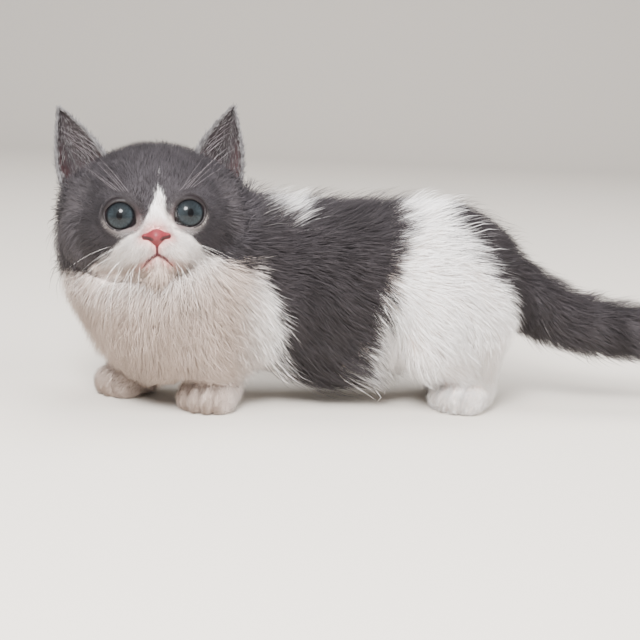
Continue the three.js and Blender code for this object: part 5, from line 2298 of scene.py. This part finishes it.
@dataclass
class Kitten:
    """The whole kitten."""

    body: Body
    place: Place
    marks: Markings
    quick: bool
    quick_net: float = 1.8
    quick_thin: float = 0.12
    quick_gap: float = 2.4
    hull_gap: float = 1.7
    hull_low: Triple = (-132, -66, -4)
    hull_high: Triple = (204, 90, 126)

    def skin(self) -> Shape:
        """The skin as triangles, with the coat's markings and where its painted shade goes.

        Returns:
            The skin.
        """
        coarse = self.quick_net if self.quick else 1.0
        lines = [
            ticks((-124, 0.9 * coarse), (-30, 2.2), (196, 1)),
            ticks((-62, 0.9 * coarse), (20, 2.0), (80, 1)),
            ticks((-2, 1.0), (18, 2.2), (58, 0.9 * coarse), (120, 1)),
        ]
        shape = settled(self.body.skin, surface_net(self.body.skin, lines))
        split = triangles(shape)
        q = self.body.into_head(split.points)
        grey = smooth(-1.5, 1.5, self.marks(self.body, split.points))
        near, away = self.body.near_eye(q)
        grey = grey * (1 - 0.25 * self.marks.under_eye(near, away))
        # dark: painted shade on the bare skin over each eye.
        dark = self.marks.over_eye(near, away)
        pink = self.marks.pink(self.body, q)
        # warm: where the skin takes the painted warm shade.
        warm = self.marks.warm(self.body, split.points)
        values = {"grey": grey, "pink": pink, "warm": warm, "dark": dark}
        return Shape(split.points, split.faces[:, ::-1], values)

    def undercoat(self, skin: Shape) -> Shape:
        """The skin out to the dense wool at the foot of the long coat.

        Args:
            skin: the bare skin.

        Returns:
            The skin out to the wool.
        """
        q = self.body.into_head(skin.points)
        out = 0.62 * np.maximum(self.body.depth(skin.points) - 1.5, 0) * (1 - 0.6 * smooth(8, 16, q[:, 0]))
        points = skin.points + gradient(self.body.skin, skin.points) * out[:, None]
        points[:, 2] = np.maximum(points[:, 2], 0)
        return Shape(points, skin.faces, skin.values)

    def dressed(self, skin: Shape) -> Thing:
        """Makes the skin's object, which stands for every node but the eyes, the ears and the nose.

        Args:
            skin: the bare skin.

        Returns:
            The object.
        """
        # The skin's white, darker and warmer than the coat's white as painted shade deep in the coat.
        finish = SkinFinish("skin", srgb(228, 214, 207), roughness=0.8, bump=0.3)
        made = self.undercoat(skin).made("skin", self.place, finish.material())
        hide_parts(*[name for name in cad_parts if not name.startswith(("eye", "ear", "nose"))])
        return made

    def nose(self) -> Thing:
        """Makes the nose leather in place of the nose's node.

        Returns:
            The object.
        """
        leather = NoseFinish("nose_leather", srgb(100, 33, 39), 0.5, bump=0.3).material()
        made = NoseLeather().build(self.body, self.place, leather)
        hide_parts("nose")
        return made

    def eyes_and_ears(self, ears: Sequence[Ear], fur: Material) -> list[Thing]:
        """Makes both eyes with their lids, and both ears with their short fur.

        Args:
            ears: both ears.
            fur: the fur's material.

        Returns:
            Four objects for each side.
        """
        place = self.place
        skin = EarFinish("ear_skin", srgb(44, 38, 40), roughness=0.7).material()
        rim = Finish("lid_rim", srgb(22, 17, 18), roughness=0.5, specular=0.3).material()
        iris = EyeFinish("eye", srgb(2, 2, 3), roughness=0.4, specular=0.06, coat=0.3).material()
        pieces = []
        for ear in ears:
            ball = EyeBall(self.body, ear.side, ear.name)
            eye = ball.build(place, iris)
            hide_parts("eye_" + ear.name)
            shell = ear.build(place, skin)
            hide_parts("ear_" + ear.name)
            pieces += [eye, ball.build_lid(place, rim), shell, ear.fur(place, fur)]
        return pieces

    def long_hairs(self, ears: Sequence[Ear], hull: Sampled) -> list[Thing]:
        """Makes the hairs across the ears, the whiskers and the brow hairs.

        Args:
            ears: both ears.
            hull: the skin's field.

        Returns:
            Three objects.
        """
        pale = Finish("long_hair", srgb(244, 240, 236), roughness=0.45, specular=0.4).material()
        soft = Finish("ear_hair", srgb(134, 126, 129), roughness=0.5, specular=0.3).material()
        hairs = LongHairs(self.body, hull)
        across = [hair for ear in ears for hair in hairs.across_ear(ear)]
        return [
            hairs.build("ear_hairs", across, 0.0042, 0.4, self.place, soft),
            hairs.build("whiskers", hairs.whiskers(), 0.0023, 0.42, self.place, pale),
            hairs.build("brow_hairs", hairs.brows(), 0.0022, 0.3, self.place, soft),
        ]

    def build(self) -> None:
        """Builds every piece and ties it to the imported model."""
        body, place = self.body, self.place
        thin = self.quick_thin if self.quick else 1.0
        fur = FurFinish("fur", srgb(252, 249, 248), roughness=0.62, specular=0.25).material()
        whole = Blend(5, [body.flesh, body.head, body.tail])
        gap = self.quick_gap if self.quick else self.hull_gap
        hull = Sampled(whole, self.hull_low, self.hull_high, gap)
        skin = self.skin()
        ears = [Ear(body, side, name, thin) for name, side in (("left", 1), ("right", -1))]
        pieces = [self.dressed(skin), self.nose()]
        pieces += self.eyes_and_ears(ears, fur)
        pieces += self.long_hairs(ears, hull)
        pieces.append(Lips(body).build(place, Finish("lip", srgb(58, 20, 24), 0.5).material()))
        pieces += Coat(body, self.marks, skin, hull, thin).build(place, fur)
        for piece in pieces:
            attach(piece, "root")
        total = sum(len(piece.data.polygons) for piece in pieces)
        LOG.info("kitten: %d pieces, %d faces", len(pieces), total)


def main() -> None:
    """Builds the kitten and its studio."""
    logging.basicConfig(level=logging.INFO, format="%(name)s %(message)s")
    body = Body()
    place = Place.of(body)
    Kitten(body, place, Markings(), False).build()
    Studio().build(place)


if __name__ == "__main__":
    main()
